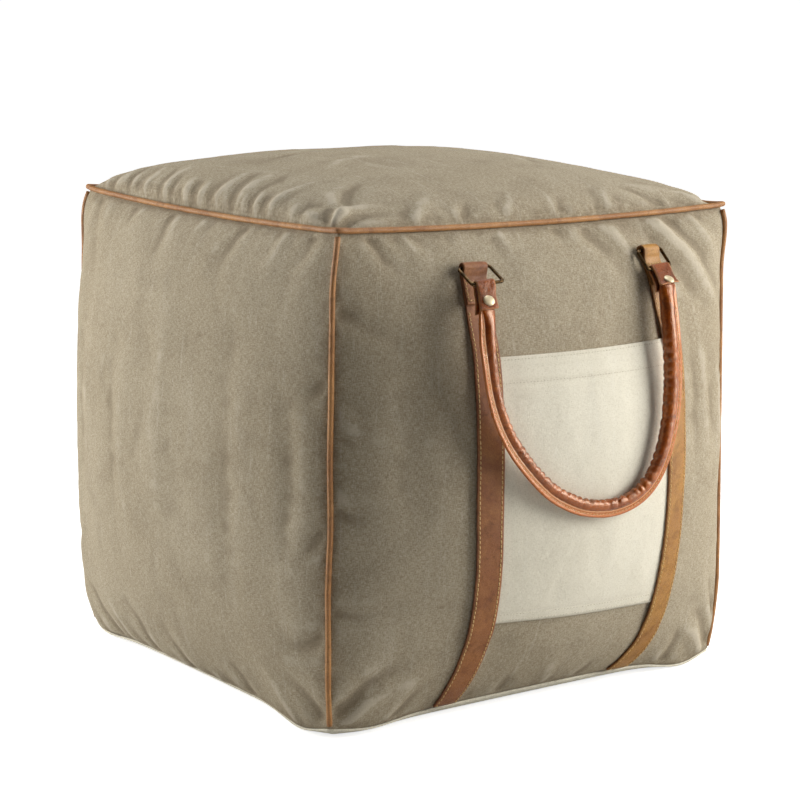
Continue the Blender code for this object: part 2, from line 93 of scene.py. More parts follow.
# left corner, right corner, facing, belly, its fullness across and up, and how far
# the canvas dips at the left and right of its bottom seam
SIDES = {
    "front": ("front_left", "front_right", (0.0, -1.0, 0.0), 0.068, 0.85, 0.75, (0.0050, 0.0085)),
    "right": ("front_right", "back_right", (1.0, 0.0, 0.0), 0.050, 0.75, 0.58, (0.0070, 0.0060)),
    "back":  ("back_right", "back_left", (0.0, 1.0, 0.0), 0.052, 0.75, 0.58, (0.0060, 0.0060)),
    "left":  ("back_left", "front_left", (-1.0, 0.0, 0.0), 0.0450, 0.72, 0.54, (0.0040, 0.0085)),
}
ORDER = ("front_left", "front_right", "back_right", "back_left")
STRAP_LINES = {
    "strap_left":  ((0.885, -0.430), (0.78, -0.434), (0.50, -0.435), (0.14, -0.440), (-0.13, -0.439),
                    (-0.40, -0.424), (-0.60, -0.419), (-0.75, -0.424), (-0.985, -0.460)),
    "strap_right": ((0.885, 0.452), (0.78, 0.470), (0.50, 0.497), (0.0, 0.499), (-0.45, 0.499),
                    (-0.66, 0.493), (-0.84, 0.481), (-0.985, 0.425)),
}
# height of the roll at each strap's top, and how wide the leather is there
STRAP_TOPS = {"strap_left": (0.852, 0.94), "strap_right": (0.862, 0.82)}
# how each ring's far bar lies from the bar in the roll: sideways, outwards, down, turn in degrees
RINGS = {
    "left":  (0.0020, 0.0232, 0.0108, 4.0),
    "right": (-0.0020, 0.0130, 0.0152, 4.0),
}
# along the far bar, where the tab's end lies from it, widths at bar and end, where the rivet sits
TABS = {
    "left":  (-0.0042, -0.0050, 0.0110, 0.0218, 0.0182, 0.0176, 0.0174),
    "right": (-0.0005, -0.0030, 0.0150, 0.0152, 0.0225, 0.0240, 0.0176),
}
HANDLE_LINE = (
    (-0.1064, 0.3510), (-0.1038, 0.3144), (-0.0976, 0.2883), (-0.0890, 0.2681),
    (-0.0772, 0.2500), (-0.0602, 0.2306), (-0.0424, 0.2148), (-0.0248, 0.2046),
    (-0.0058, 0.1968), (0.0149, 0.1932), (0.0326, 0.1932), (0.0496, 0.1972),
    (0.0650, 0.2056), (0.0762, 0.2177), (0.0849, 0.2345), (0.0920, 0.2539),
    (0.0977, 0.2764), (0.1009, 0.3051), (0.1009, 0.3400),
)
HANDLE_OUT = ((0.20, -0.3000), (0.24, -0.3000), (0.30, -0.2935), (0.35, -0.2890), (0.38, -0.2850))


# --------------------------------------------------------------------------
# camera: a little above, looking at the front left upright seam
# --------------------------------------------------------------------------
def look_camera():
    az, el, dist = math.radians(-35.25), math.radians(10.75), 2.33
    aim = Vector((0.009, 0.0, 0.2445))
    back = Vector((math.sin(az) * math.cos(el), -math.cos(az) * math.cos(el), math.sin(el)))
    data = bpy.data.cameras.new("camera")
    data.sensor_width = 36.0
    data.lens = 2392.0 * 36.0 / 800.0
    data.clip_start, data.clip_end = 0.05, 60.0
    cam = bpy.data.objects.new("camera", data)
    bpy.context.scene.collection.objects.link(cam)
    cam.rotation_mode = "QUATERNION"
    cam.location = aim + back * dist
    cam.rotation_quaternion = (-back).to_track_quat("-Z", "Y")
    bpy.context.scene.camera = cam


look_camera()


# --------------------------------------------------------------------------
# small helpers
# --------------------------------------------------------------------------
def unit(v):
    v = np.asarray(v, float)
    return v / np.maximum(np.linalg.norm(v, axis=-1, keepdims=True), 1e-12)


def smoothstep(x):
    x = np.clip(x, 0.0, 1.0)
    return x * x * (3.0 - 2.0 * x)


def table_value(table, x):
    rows = sorted(table)
    return np.interp(x, [r[0] for r in rows], [r[1] for r in rows])


def smooth_table(table, x):
    """Smooth (monotone-free cubic) reading of a two-column table."""
    rows = sorted(table)
    xs = np.array([r[0] for r in rows])
    ys = np.array([r[1] for r in rows])
    m = np.gradient(ys, xs)
    x = np.clip(x, xs[0], xs[-1])
    i = np.clip(np.searchsorted(xs, x, side="right") - 1, 0, len(xs) - 2)
    h = xs[i + 1] - xs[i]
    t = (x - xs[i]) / h
    return ((2 * t ** 3 - 3 * t ** 2 + 1) * ys[i] + (t ** 3 - 2 * t ** 2 + t) * h * m[i]
            + (-2 * t ** 3 + 3 * t ** 2) * ys[i + 1] + (t ** 3 - t ** 2) * h * m[i + 1])


def catmull(points, per_span):
    pts = [np.asarray(p, float) for p in points]
    pts = [2 * pts[0] - pts[1]] + pts + [2 * pts[-1] - pts[-2]]
    out = []
    for i in range(1, len(pts) - 2):
        p0, p1, p2, p3 = pts[i - 1:i + 3]
        for k in range(per_span):
            t = k / per_span
            out.append(0.5 * ((2 * p1) + (p2 - p0) * t + (2 * p0 - 5 * p1 + 4 * p2 - p3) * t * t
                              + (3 * p1 - p0 - 3 * p2 + p3) * t ** 3))
    out.append(pts[-2])
    return np.array(out)


def resample(path, step):
    """Evenly spaced points along a polyline, about step apart; returns points and lengths."""
    path = np.asarray(path, float)
    d = np.concatenate([[0], np.cumsum(np.linalg.norm(np.diff(path, axis=0), axis=1))])
    n = max(2, int(round(d[-1] / step)) + 1)
    u = np.linspace(0, d[-1], n)
    return np.stack([np.interp(u, d, path[:, k]) for k in range(3)], -1), u


def hash_noise(x, seed=0):
    """Value noise in one dimension, smooth, -1..1, repeatable."""
    x = np.asarray(x, float)
    i = np.floor(x).astype(np.int64)
    f = x - i

    def h(k):
        v = np.sin((k + seed * 57.31) * 127.1) * 43758.5453
        return 2.0 * (v - np.floor(v)) - 1.0
    w = f * f * (3 - 2 * f)
    return h(i) * (1 - w) + h(i + 1) * w


def noise2(x, y, seed=0):
    """Value noise in two dimensions, -1..1, repeatable."""
    x, y = np.asarray(x, float), np.asarray(y, float)
    xi, yi = np.floor(x), np.floor(y)
    fx, fy = x - xi, y - yi
    fx, fy = fx * fx * fx * (fx * (fx * 6 - 15) + 10), fy * fy * fy * (fy * (fy * 6 - 15) + 10)

    def h(a, b):
        v = np.sin(a * 127.1 + b * 311.7 + seed * 74.7) * 43758.5453
        return 2.0 * (v - np.floor(v)) - 1.0
    return ((h(xi, yi) * (1 - fx) + h(xi + 1, yi) * fx) * (1 - fy)
            + (h(xi, yi + 1) * (1 - fx) + h(xi + 1, yi + 1) * fx) * fy)


def make_mesh(name, verts, faces, uvs=None, attrs=None, smooth=True):
    """A mesh object from arrays; uvs are per vertex, attrs are named per-vertex numbers."""
    mesh = bpy.data.meshes.new(name)
    mesh.from_pydata([tuple(v) for v in np.asarray(verts, float)], [], [tuple(f) for f in faces])
    mesh.validate()
    mesh.update()
    if smooth:
        mesh.shade_smooth()
    if uvs is not None:
        layer = mesh.uv_layers.new(name="panel")
        loop = np.zeros(len(mesh.loops), np.int32)
        mesh.loops.foreach_get("vertex_index", loop)
        layer.uv.foreach_set("vector", np.asarray(uvs, np.float32)[loop].ravel())
    for key, val in (attrs or {}).items():
        a = mesh.attributes.new(key, "FLOAT", "POINT")
        a.data.foreach_set("value", np.asarray(val, np.float32))
    obj = bpy.data.objects.new(name, mesh)
    bpy.context.scene.collection.objects.link(obj)
    return obj


def grid_faces(m, n, offset=0, flip=False, close_cols=False):
    """Quads of an m by n grid of vertices numbered row by row."""
    out = []
    cols = n if close_cols else n - 1
    for i in range(m - 1):
        a = offset + i * n
        b = a + n
        for j in range(cols):
            k = (j + 1) % n
            q = (a + j, a + k, b + k, b + j)
            out.append(q[::-1] if flip else q)
    return out


def fix_normals(obj):
    bm = bmesh.new()
    bm.from_mesh(obj.data)
    bmesh.ops.recalc_face_normals(bm, faces=bm.faces[:])
    if bm.calc_volume(signed=True) < 0:
        bmesh.ops.reverse_faces(bm, faces=bm.faces[:])
    bm.to_mesh(obj.data)
    bm.free()


def shell(name, under, over, uv=None, attrs=None):
    """A closed sheet from two grids of points, [rows, columns, 3]."""
    m, n = under.shape[:2]
    verts = np.concatenate([under.reshape(-1, 3), over.reshape(-1, 3)])
    faces = grid_faces(m, n, 0, flip=True) + grid_faces(m, n, m * n)
    rim = ([(0, j) for j in range(n)] + [(i, n - 1) for i in range(1, m)]
           + [(m - 1, j) for j in range(n - 2, -1, -1)] + [(i, 0) for i in range(m - 2, 0, -1)])
    for k, (i, j) in enumerate(rim):
        p, q = rim[(k + 1) % len(rim)]
        a, b = i * n + j, p * n + q
        faces.append((a, b, b + m * n, a + m * n))
    uvs = None if uv is None else np.concatenate([uv.reshape(-1, 2)] * 2)
    at = None if attrs is None else {k: np.concatenate([v.ravel()] * 2) for k, v in attrs.items()}
    obj = make_mesh(name, verts, faces, uvs, at)
    fix_normals(obj)
    return obj


def frames(path, hint, closed=False):
    """Tangent, hint-side and third direction at each point of a path."""
    path = np.asarray(path, float)
    if closed:
        t = unit(np.roll(path, -1, 0) - np.roll(path, 1, 0))
    else:
        t = unit(np.gradient(path, axis=0))
    hint = np.broadcast_to(np.asarray(hint, float), path.shape)
    a = unit(hint - t * (hint * t).sum(-1, keepdims=True))
    b = np.cross(t, a)
    return t, a, b


def tube(name, path, a, b, ring_xy, closed=False, uv_len=None, attrs=None):
    """Skin ring_xy [count or 1, sides, 2] round the path along directions a, b."""
    count = len(path)
    ring_xy = np.broadcast_to(ring_xy, (count,) + ring_xy.shape[-2:])
    sides = ring_xy.shape[1]
    pts = (path[:, None, :] + ring_xy[..., :1] * a[:, None, :] + ring_xy[..., 1:] * b[:, None, :])
    verts = pts.reshape(-1, 3)
    faces = grid_faces(count, sides, close_cols=True)
    if closed:
        off = (count - 1) * sides
        for j in range(sides):
            k = (j + 1) % sides
            faces.append((off + j, off + k, k, j))
    else:
        faces.append(tuple(range(sides))[::-1])
        faces.append(tuple((count - 1) * sides + j for j in range(sides)))
    if uv_len is None:
        uv_len = np.concatenate([[0], np.cumsum(np.linalg.norm(np.diff(path, axis=0), axis=1))])
    uv = np.stack(np.broadcast_arrays(uv_len[:, None], np.arange(sides)[None, :] / sides), -1)
    obj = make_mesh(name, verts, faces, uv.reshape(-1, 2),
                    None if attrs is None else {k: v.ravel() for k, v in attrs.items()})
    fix_normals(obj)
    return obj


def join_meshes(name, parts):
    """One mesh object from lists of (verts, faces)."""
    verts, faces, off = [], [], 0
    for v, f in parts:
        verts.append(v)
        faces += [tuple(i + off for i in q) for q in f]
        off += len(v)
    return make_mesh(name, np.concatenate(verts), faces)


def stitch_row(points, normals, pitch, length, radius, lift, seed=0, wobble=0.12, start=0.5):
    """Short bent threads along a line that lies on a surface: returns [(verts, faces)]."""
    points = np.asarray(points, float)
    d = np.concatenate([[0], np.cumsum(np.linalg.norm(np.diff(points, axis=0), axis=1))])
    total = d[-1]
    r = np.random.default_rng(seed)
    out = []
    count = int(total / pitch)
    us = np.linspace(0, 1, 6)
    for k in range(count):
        c = (k + start) * pitch + r.normal(0, 0.03) * pitch
        half = length / 2 * (1 + r.normal(0, 0.06))
        at = np.clip(c + (us * 2 - 1) * half, 0, total)
        p = np.stack([np.interp(at, d, points[:, i]) for i in range(3)], -1)
        n = unit(np.stack([np.interp(at, d, normals[:, i]) for i in range(3)], -1))
        t = unit(p[-1] - p[0])
        side = unit(np.cross(n, t))
        skew = r.normal(0, wobble) * radius + 0.25 * radius
        arch = np.sin(np.pi * us)
        p = p + n * (lift * (arch ** 0.5 * 1.3 - 0.55))[:, None] + side * (skew * (us * 2 - 1))[:, None]
        rad = radius * np.array([0.75, 0.95, 1.0, 1.0, 0.95, 0.75])
        ang = np.arange(6) / 6 * 2 * np.pi
        ring = (p[:, None, :] + (rad[:, None] * np.cos(ang))[..., None] * side[:, None, :]
                + (rad[:, None] * np.sin(ang) * 0.8)[..., None] * n[:, None, :])
        v = ring.reshape(-1, 3)
        f = grid_faces(6, 6, close_cols=True) + [tuple(range(6))[::-1], tuple(30 + j for j in range(6))]
        out.append((v, f))
    return out


# --------------------------------------------------------------------------
# the filled cube's surfaces, on arrays of panel coordinates
# --------------------------------------------------------------------------
def corner(name, top):
    row = CORNERS[name]
    return np.array(row[3:6] if top else row[0:3])


def out_of(name):
    low = CORNERS[name]
    return unit(np.array((math.copysign(1, low[0]), math.copysign(1, low[1]), 0.0)))


def seam_line(side, s, top):
    """The seam without its tuck at the corners."""
    a, b = SIDES[side][:2]
    s = np.asarray(s, float)[..., None]
    u = (s + 1) / 2
    bend = -TOP_SAG if top else BOTTOM_LIFT
    return corner(a, top) * (1 - u) + corner(b, top) * u + bend * (1 - s * s) * np.array((0, 0, 1.0))


def upright_line(name, t):
    t = np.asarray(t, float)[..., None]
    v = (t + 1) / 2
    low, high = corner(name, False), corner(name, True)
    power = np.where(t > 0, BOW_POWER_TOP, BOW_POWER_LOW)
    line = low * (1 - v) + high * v + out_of(name) * CORNERS[name][6] * (1 - np.abs(t) ** power)
    if name == "front_left":
        # this seam hooks over at its top
        line = line - np.array((0.0040, 0.0, 0.0)) * (v - smoothstep((t - 0.76) / 0.24))
    return line


def seam_depth(name, t):
    """How deep the upright seam sits between its panels."""
    top, mid, low = CORNERS[name][7]
    t = np.asarray(t, float)
    return (mid + (top - mid) * smoothstep((t - 0.72) / 0.28) + (low - mid) * smoothstep((-t - 0.75) / 0.25))


def fall_off(e):
    return np.clip(1 - e / EDGE_REACH, 0, 1) ** 2


def side_point(side, s, t, out=0.0):
    a, b, facing, belly, across, upward, dips = SIDES[side]
    s, t = np.broadcast_arrays(np.asarray(s, float), np.asarray(t, float))
    u, v = ((s + 1) / 2)[..., None], ((t + 1) / 2)[..., None]
    base = ((1 - v) * seam_line(side, s, False) + v * seam_line(side, s, True)
            + (1 - u) * upright_line(a, t) + u * upright_line(b, t)
            - (1 - u) * (1 - v) * corner(a, False) - u * (1 - v) * corner(b, False)
            - (1 - u) * v * corner(a, True) - u * v * corner(b, True))
    swell = (np.clip(1 - s * s, 0, 1) ** across) * (np.clip(1 - t * t, 0, 1) ** upward)
    p = base + np.array(facing) * (belly * swell + out)[..., None]
    p = p - out_of(a) * (seam_depth(a, t) * fall_off((1 + s) * HALF))[..., None]
    p = p - out_of(b) * (seam_depth(b, t) * fall_off((1 - s) * HALF))[..., None]
    dip = (dips[0] * np.exp(-((s + 0.80) / 0.17) ** 2) + dips[1] * np.exp(-((s - 0.80) / 0.17) ** 2))
    p[..., 2] -= dip * (1 - np.abs(s) ** 12) * fall_off((1 + t) * 0.216)
    return p


def bottom_seam(side, s):
    return side_point(side, s, np.full(np.shape(s), -1.0))


def top_seam(side, s):
    return side_point(side, s, np.full(np.shape(s), 1.0))


def upright_seam(name, t):
    side = [k for k in SIDES if SIDES[k][0] == name][0]
    return side_point(side, np.full(np.shape(t), -1.0), t)


def plan_blend(curve, s, t):
    u, v = ((s + 1) / 2)[..., None], ((t + 1) / 2)[..., None]
    fl, fr = curve("front", np.array(-1.0)), curve("front", np.array(1.0))
    br, bl = curve("back", np.array(-1.0)), curve("back", np.array(1.0))
    return ((1 - v) * curve("front", s) + v * curve("back", -s) + (1 - u) * curve("left", -t)
            + u * curve("right", t) - (1 - u) * (1 - v) * fl - u * (1 - v) * fr - u * v * br
            - (1 - u) * v * bl)


def crown_point(s, t):
    s, t = np.broadcast_arrays(np.asarray(s, float), np.asarray(t, float))
    p = plan_blend(top_seam, s, t)
    full = np.where(s < 0, CROWN_POWER_LEFT, CROWN_POWER)
    swell = np.clip(1 - s * s, 0, 1) ** full * np.clip(1 - t * t, 0, 1) ** CROWN_POWER
    return p + np.array((0, 0, 1.0)) * (CROWN * swell)[..., None]


def underside_point(s, t, drop=0.0):
    s, t = np.broadcast_arrays(np.asarray(s, float), np.asarray(t, float))
    p = plan_blend(bottom_seam, s, t)
    m = np.maximum(np.abs(s), np.abs(t))
    rise = np.clip((m - BASE_FLAT) / (1 - BASE_FLAT), 0, None) ** 2
    level = BASE_THICK + GAP
    p[..., 2] = level + (p[..., 2] - level) * rise - drop
    q = np.minimum(np.abs(s), np.abs(t)) / np.maximum(m, 1e-6)
    draw = BASE_WAIST * (1 - q * q) * np.minimum((1 - m) / (1 - BASE_FLAT), 1.0)
    p[..., 0] *= 1 - draw
    p[..., 1] *= 1 - draw
    return p


def grid_normals(P, facing):
    """Unit normals of a grid of points, turned to the facing side."""
    du = np.gradient(P, axis=1)
    dv = np.gradient(P, axis=0)
    n = unit(np.cross(du, dv))
    flip = np.sign((n * facing).sum(-1).mean())
    return n * flip


# --------------------------------------------------------------------------
# panels as fine grids
# --------------------------------------------------------------------------
N = 118
lin = np.linspace(-1, 1, N + 1)
# rows a little closer together next to the seams
even = 0.50 * lin + 0.50 * np.sin(lin * np.pi / 2)
SS, TT = np.meshgrid(even, even)          # SS varies along columns
PANELS = {}
for side in SIDES:
    PANELS[side] = side_point(side, SS, TT)
PANELS["top"] = crown_point(SS, TT)
FACING = {side: np.array(SIDES[side][2]) for side in SIDES}
FACING["top"] = np.array((0, 0, 1.0))


def strap_middle(name, t):
    return smooth_table(STRAP_LINES[name], t)


def edge_fade(s, t, width=0.06):
    """0 on the seams, 1 away from them."""
    e = np.minimum(1 - np.abs(s), 1 - np.abs(t))
    return smoothstep(e / width)


# --------------------------------------------------------------------------
# creases and folds of the stuffed canvas, listed one by one in panel coordinates
# --------------------------------------------------------------------------
# each row: (points along the crease as (s, t) pairs, width m, height m)
# a positive height is a ridge, a negative one a trough
CREASES = {
    "front": (
        # long pulls from the top seam down to the right upright seam
        (((0.42, 0.97), (0.60, 0.80), (0.80, 0.55), (0.93, 0.30)), 0.0105, -0.0030),
        (((0.56, 0.98), (0.70, 0.83), (0.86, 0.62), (0.96, 0.42)), 0.0070, 0.0022),
        (((0.66, 0.98), (0.78, 0.84), (0.90, 0.68), (0.98, 0.55)), 0.0060, -0.0026),
        (((0.78, 0.985), (0.86, 0.88), (0.94, 0.76)), 0.0050, 0.0020),
        (((0.20, 0.96), (0.30, 0.84), (0.37, 0.70)), 0.0080, -0.0018),
        (((0.62, 0.66), (0.66, 0.40), (0.67, 0.10), (0.66, -0.15)), 0.0120, -0.0022),
        (((0.73, 0.60), (0.79, 0.30), (0.80, 0.0)), 0.0090, -0.0018),
        (((0.87, 0.35), (0.90, 0.05), (0.89, -0.30)), 0.0085, 0.0018),
        (((0.96, 0.20), (0.975, -0.10), (0.965, -0.45)), 0.0055, -0.0018),
        # short tucks below the top piping
        (((-0.86, 0.985), (-0.80, 0.90), (-0.70, 0.83)), 0.0060, -0.0022),
        (((-0.70, 0.985), (-0.66, 0.92), (-0.61, 0.86)), 0.0050, 0.0016),
        (((-0.50, 0.985), (-0.50, 0.93)), 0.0050, -0.0012),
        (((0.05, 0.985), (0.08, 0.93)), 0.0055, -0.0013),
        (((-0.25, 0.985), (-0.22, 0.92), (-0.20, 0.87)), 0.0050, 0.0012),
        # from the near upright seam
        (((-0.975, 0.70), (-0.86, 0.62), (-0.72, 0.58)), 0.0075, -0.0018),
        (((-0.98, 0.30), (-0.88, 0.22), (-0.76, 0.20)), 0.0080, 0.0014),
        (((-0.98, -0.10), (-0.87, -0.16)), 0.0070, -0.0016),
        (((-0.975, -0.50), (-0.84, -0.52), (-0.70, -0.46)), 0.0080, -0.0018),
        (((-0.72, 0.50), (-0.75, 0.15), (-0.72, -0.25)), 0.0150, -0.0018),
        # bottom corners and the bottom seam
        (((-0.96, -0.93), (-0.82, -0.80), (-0.66, -0.70)), 0.0080, -0.0032),
        (((-0.93, -0.975), (-0.76, -0.86), (-0.58, -0.80)), 0.0060, 0.0022),
        (((-0.70, -0.985), (-0.63, -0.90), (-0.58, -0.84)), 0.0050, -0.0022),
        (((-0.20, -0.985), (-0.18, -0.88)), 0.0055, -0.0018),
        (((0.02, -0.985), (0.00, -0.90), (-0.03, -0.82)), 0.0050, 0.0016),
        (((0.22, -0.985), (0.24, -0.89)), 0.0055, -0.0020),
        (((0.68, -0.985), (0.70, -0.88), (0.73, -0.78)), 0.0055, -0.0020),
        (((0.95, -0.94), (0.84, -0.80), (0.72, -0.66)), 0.0080, -0.0034),
        (((0.90, -0.975), (0.79, -0.86), (0.66, -0.80)), 0.0055, 0.0022),
        (((0.975, -0.80), (0.90, -0.66), (0.80, -0.52)), 0.0065, -0.0022),
    ),
    "left": (
        (((0.86, 0.985), (0.80, 0.86), (0.74, 0.70)), 0.0080, -0.0022),
        (((0.70, 0.985), (0.66, 0.88), (0.64, 0.78)), 0.0060, 0.0016),
        (((0.40, 0.985), (0.36, 0.86), (0.36, 0.72)), 0.0065, -0.0018),
        (((0.10, 0.985), (0.10, 0.90)), 0.0060, 0.0014),
        (((-0.18, 0.985), (-0.15, 0.88), (-0.16, 0.76)), 0.0065, -0.0018),
        (((-0.48, 0.985), (-0.44, 0.88)), 0.0060, -0.0014),
        (((-0.80, 0.985), (-0.72, 0.82), (-0.70, 0.66)), 0.0080, -0.0022),
        (((0.52, 0.66), (0.49, 0.20), (0.52, -0.30), (0.56, -0.62)), 0.0150, -0.0020),
        (((0.10, 0.70), (0.02, 0.20), (0.05, -0.30)), 0.0170, 0.0014),
        (((-0.30, 0.62), (-0.38, 0.20), (-0.36, -0.25), (-0.30, -0.60)), 0.0150, -0.0018),
        (((-0.70, 0.55), (-0.76, 0.10), (-0.72, -0.40)), 0.0130, -0.0018),
        (((0.80, 0.40), (0.84, 0.05), (0.81, -0.35)), 0.0100, -0.0022),
        (((0.975, 0.40), (0.90, 0.34), (0.84, 0.36)), 0.0070, -0.0016),
        (((0.975, -0.20), (0.89, -0.27), (0.82, -0.25)), 0.0070, -0.0018),
        (((0.97, -0.62), (0.86, -0.66), (0.74, -0.60)), 0.0080, -0.0024),
        (((0.95, -0.94), (0.82, -0.82), (0.66, -0.74)), 0.0075, -0.0032),
        (((0.80, -0.985), (0.72, -0.88), (0.62, -0.84)), 0.0055, 0.0020),
        (((0.50, -0.985), (0.45, -0.88), (0.38, -0.80)), 0.0055, -0.0024),
        (((0.26, -0.985), (0.22, -0.90)), 0.0050, 0.0018),
        (((0.05, -0.985), (0.0, -0.86), (-0.08, -0.76)), 0.0060, -0.0024),
        (((-0.25, -0.985), (-0.30, -0.84), (-0.40, -0.72)), 0.0070, -0.0028),
        (((-0.45, -0.985), (-0.54, -0.82), (-0.66, -0.70)), 0.0065, 0.0024),
        (((-0.62, -0.985), (-0.74, -0.82), (-0.88, -0.68)), 0.0070, -0.0036),
        (((-0.80, -0.985), (-0.87, -0.88), (-0.96, -0.78)), 0.0050, 0.0024),
        (((-0.97, -0.62), (-0.86, -0.50), (-0.78, -0.36)), 0.0080, -0.0026),
        (((-0.975, -0.10), (-0.88, -0.02)), 0.0080, -0.0018),
        (((-0.975, 0.42), (-0.88, 0.36)), 0.0080, -0.0018),
    ),
    "right": (
        (((-0.90, 0.97), (-0.78, 0.80), (-0.62, 0.66)), 0.0085, -0.0028),
        (((-0.60, 0.985), (-0.50, 0.84), (-0.44, 0.70)), 0.0070, 0.0020),
        (((-0.20, 0.985), (-0.17, 0.88), (-0.10, 0.76)), 0.0065, -0.0020),
        (((0.20, 0.985), (0.18, 0.86)), 0.0060, -0.0016),
        (((0.55, 0.985), (0.50, 0.84), (0.48, 0.68)), 0.0070, -0.0020),
        (((0.92, 0.96), (0.80, 0.80), (0.66, 0.62)), 0.0085, -0.0028),
        (((-0.42, 0.60), (-0.48, 0.10), (-0.45, -0.40)), 0.0160, -0.0020),
        (((0.12, 0.60), (0.06, 0.10), (0.12, -0.50)), 0.0180, -0.0018),
        (((0.62, 0.50), (0.68, 0.05), (0.64, -0.40)), 0.0150, -0.0020),
        (((-0.96, -0.94), (-0.84, -0.82), (-0.70, -0.72)), 0.0080, -0.0032),
        (((0.95, -0.94), (0.82, -0.82), (0.64, -0.74)), 0.0080, -0.0032),
        (((-0.40, -0.985), (-0.36, -0.86)), 0.0060, -0.0022),
        (((-0.05, -0.985), (-0.02, -0.84), (0.04, -0.74)), 0.0060, -0.0022),
        (((0.35, -0.985), (0.34, -0.86)), 0.0060, 0.0018),
        (((0.60, -0.985), (0.66, -0.84), (0.76, -0.74)), 0.0065, -0.0026),
        (((-0.975, 0.15), (-0.86, 0.10)), 0.0080, -0.0018),
        (((0.975, 0.0), (0.86, 0.04)), 0.0080, -0.0018),
    ),
    "back": (
        (((-0.90, 0.97), (-0.76, 0.82), (-0.58, 0.68)), 0.0085, -0.0028),
        (((-0.50, 0.985), (-0.44, 0.86), (-0.40, 0.72)), 0.0070, -0.0018),
        (((-0.10, 0.985), (-0.08, 0.86)), 0.0065, 0.0016),
        (((0.30, 0.985), (0.28, 0.84), (0.22, 0.70)), 0.0070, -0.0020),
        (((0.92, 0.96), (0.78, 0.80), (0.60, 0.66)), 0.0085, -0.0030),
        (((-0.50, 0.60), (-0.56, 0.05), (-0.52, -0.45)), 0.0160, -0.0020),
        (((0.0, 0.65), (-0.06, 0.15), (0.0, -0.40)), 0.0180, -0.0016),
        (((0.50, 0.55), (0.57, 0.05), (0.52, -0.50)), 0.0150, -0.0020),
        (((-0.95, -0.94), (-0.82, -0.80), (-0.66, -0.72)), 0.0080, -0.0032),
        (((0.95, -0.94), (0.80, -0.82), (0.66, -0.74)), 0.0080, -0.0032),
        (((-0.30, -0.985), (-0.28, -0.85)), 0.0060, -0.0022),
        (((0.08, -0.985), (0.05, -0.86), (0.0, -0.76)), 0.0060, -0.0022),
        (((0.45, -0.985), (0.47, -0.84)), 0.0060, -0.0022),
        (((-0.975, 0.10), (-0.87, 0.05)), 0.0080, -0.0018),
        (((0.975, -0.15), (0.87, -0.10)), 0.0080, -0.0018),
    ),
    "top": (
        # hollow at the near corner and the folds that fan out of it
        (((-0.975, -0.975), (-0.91, -0.93)), 0.0100, -0.0050),
        (((-0.97, -0.93), (-0.86, -0.88), (-0.70, -0.86)), 0.0062, 0.0030),
        (((-0.94, -0.96), (-0.80, -0.94), (-0.60, -0.95)), 0.0055, -0.0028),
        (((-0.95, -0.94), (-0.86, -0.80), (-0.80, -0.62)), 0.0065, 0.0028),
        (((-0.975, -0.90), (-0.93, -0.76), (-0.91, -0.60)), 0.0055, -0.0026),
        (((-0.92, -0.90), (-0.80, -0.76), (-0.62, -0.62)), 0.0080, -0.0024),
        (((-0.62, -0.98), (-0.52, -0.90), (-0.40, -0.86)), 0.0055, 0.0018),
        (((-0.38, -0.985), (-0.30, -0.90)), 0.0050, -0.0018),
        (((-0.16, -0.985), (-0.10, -0.91), (-0.02, -0.86)), 0.0055, 0.0014),
        (((0.12, -0.985), (0.17, -0.91)), 0.0050, -0.0016),
        (((0.36, -0.985), (0.42, -0.90), (0.50, -0.84)), 0.0055, 0.0016),
        # long slack creases across the crown
        (((-0.66, -0.40), (-0.46, -0.24), (-0.20, -0.14)), 0.0100, 0.0012),
        (((-0.70, 0.05), (-0.46, 0.14), (-0.22, 0.16)), 0.0090, -0.0012),
        (((0.30, -0.62), (0.46, -0.40), (0.54, -0.16)), 0.0100, -0.0012),
        # right corner
        (((0.965, -0.95), (0.82, -0.82), (0.62, -0.72)), 0.0075, -0.0034),
        (((0.88, -0.98), (0.74, -0.90), (0.54, -0.86)), 0.0060, 0.0024),
        (((0.66, -0.985), (0.56, -0.90), (0.44, -0.84)), 0.0055, -0.0022),
        (((0.975, -0.86), (0.88, -0.68), (0.80, -0.46)), 0.0070, 0.0024),
        (((0.98, -0.62), (0.88, -0.48), (0.80, -0.28)), 0.0065, -0.0024),
        (((0.98, -0.30), (0.88, -0.22)), 0.0060, 0.0016),
        (((0.98, 0.05), (0.87, 0.10)), 0.0060, -0.0018),
        (((0.98, 0.42), (0.86, 0.40)), 0.0060, 0.0018),
        # far corners
        (((0.96, 0.95), (0.84, 0.82), (0.66, 0.74)), 0.0075, -0.0030),
        (((-0.96, 0.96), (-0.86, 0.86), (-0.70, 0.80)), 0.0065, -0.0030),
        (((-0.90, 0.98), (-0.78, 0.92), (-0.60, 0.92)), 0.0055, 0.0022),
        (((-0.30, 0.985), (-0.26, 0.88)), 0.0060, -0.0018),
        (((0.20, 0.985), (0.18, 0.88)), 0.0060, 0.0016),
        (((0.60, 0.985), (0.56, 0.87)), 0.0060, -0.0018),
    ),
}


def seam_puckers():
    """Short tight gathers standing square to the left top seam."""
    r = np.random.default_rng(23)
    rows = []
    at, turn = -0.80, 1
    while at < 0.90:
        reach = 0.07 + 0.24 * r.random() ** 2.0
        slant = 0.01 + 0.13 * r.random() * (reach / 0.2)
        height = (0.0007 + 0.0017 * r.random() ** 1.4) * turn
        rows.append((((-0.997, at), (-0.99 + reach * 0.5, at + slant * 0.35), (-0.99 + reach, at + slant)),
                     0.0034 + 0.0026 * r.random(), height))
        turn = -turn if r.random() < 0.8 else turn
        at += 0.030 + 0.060 * r.random()
    return tuple(rows)


CREASES["top"] = CREASES["top"] + seam_puckers()


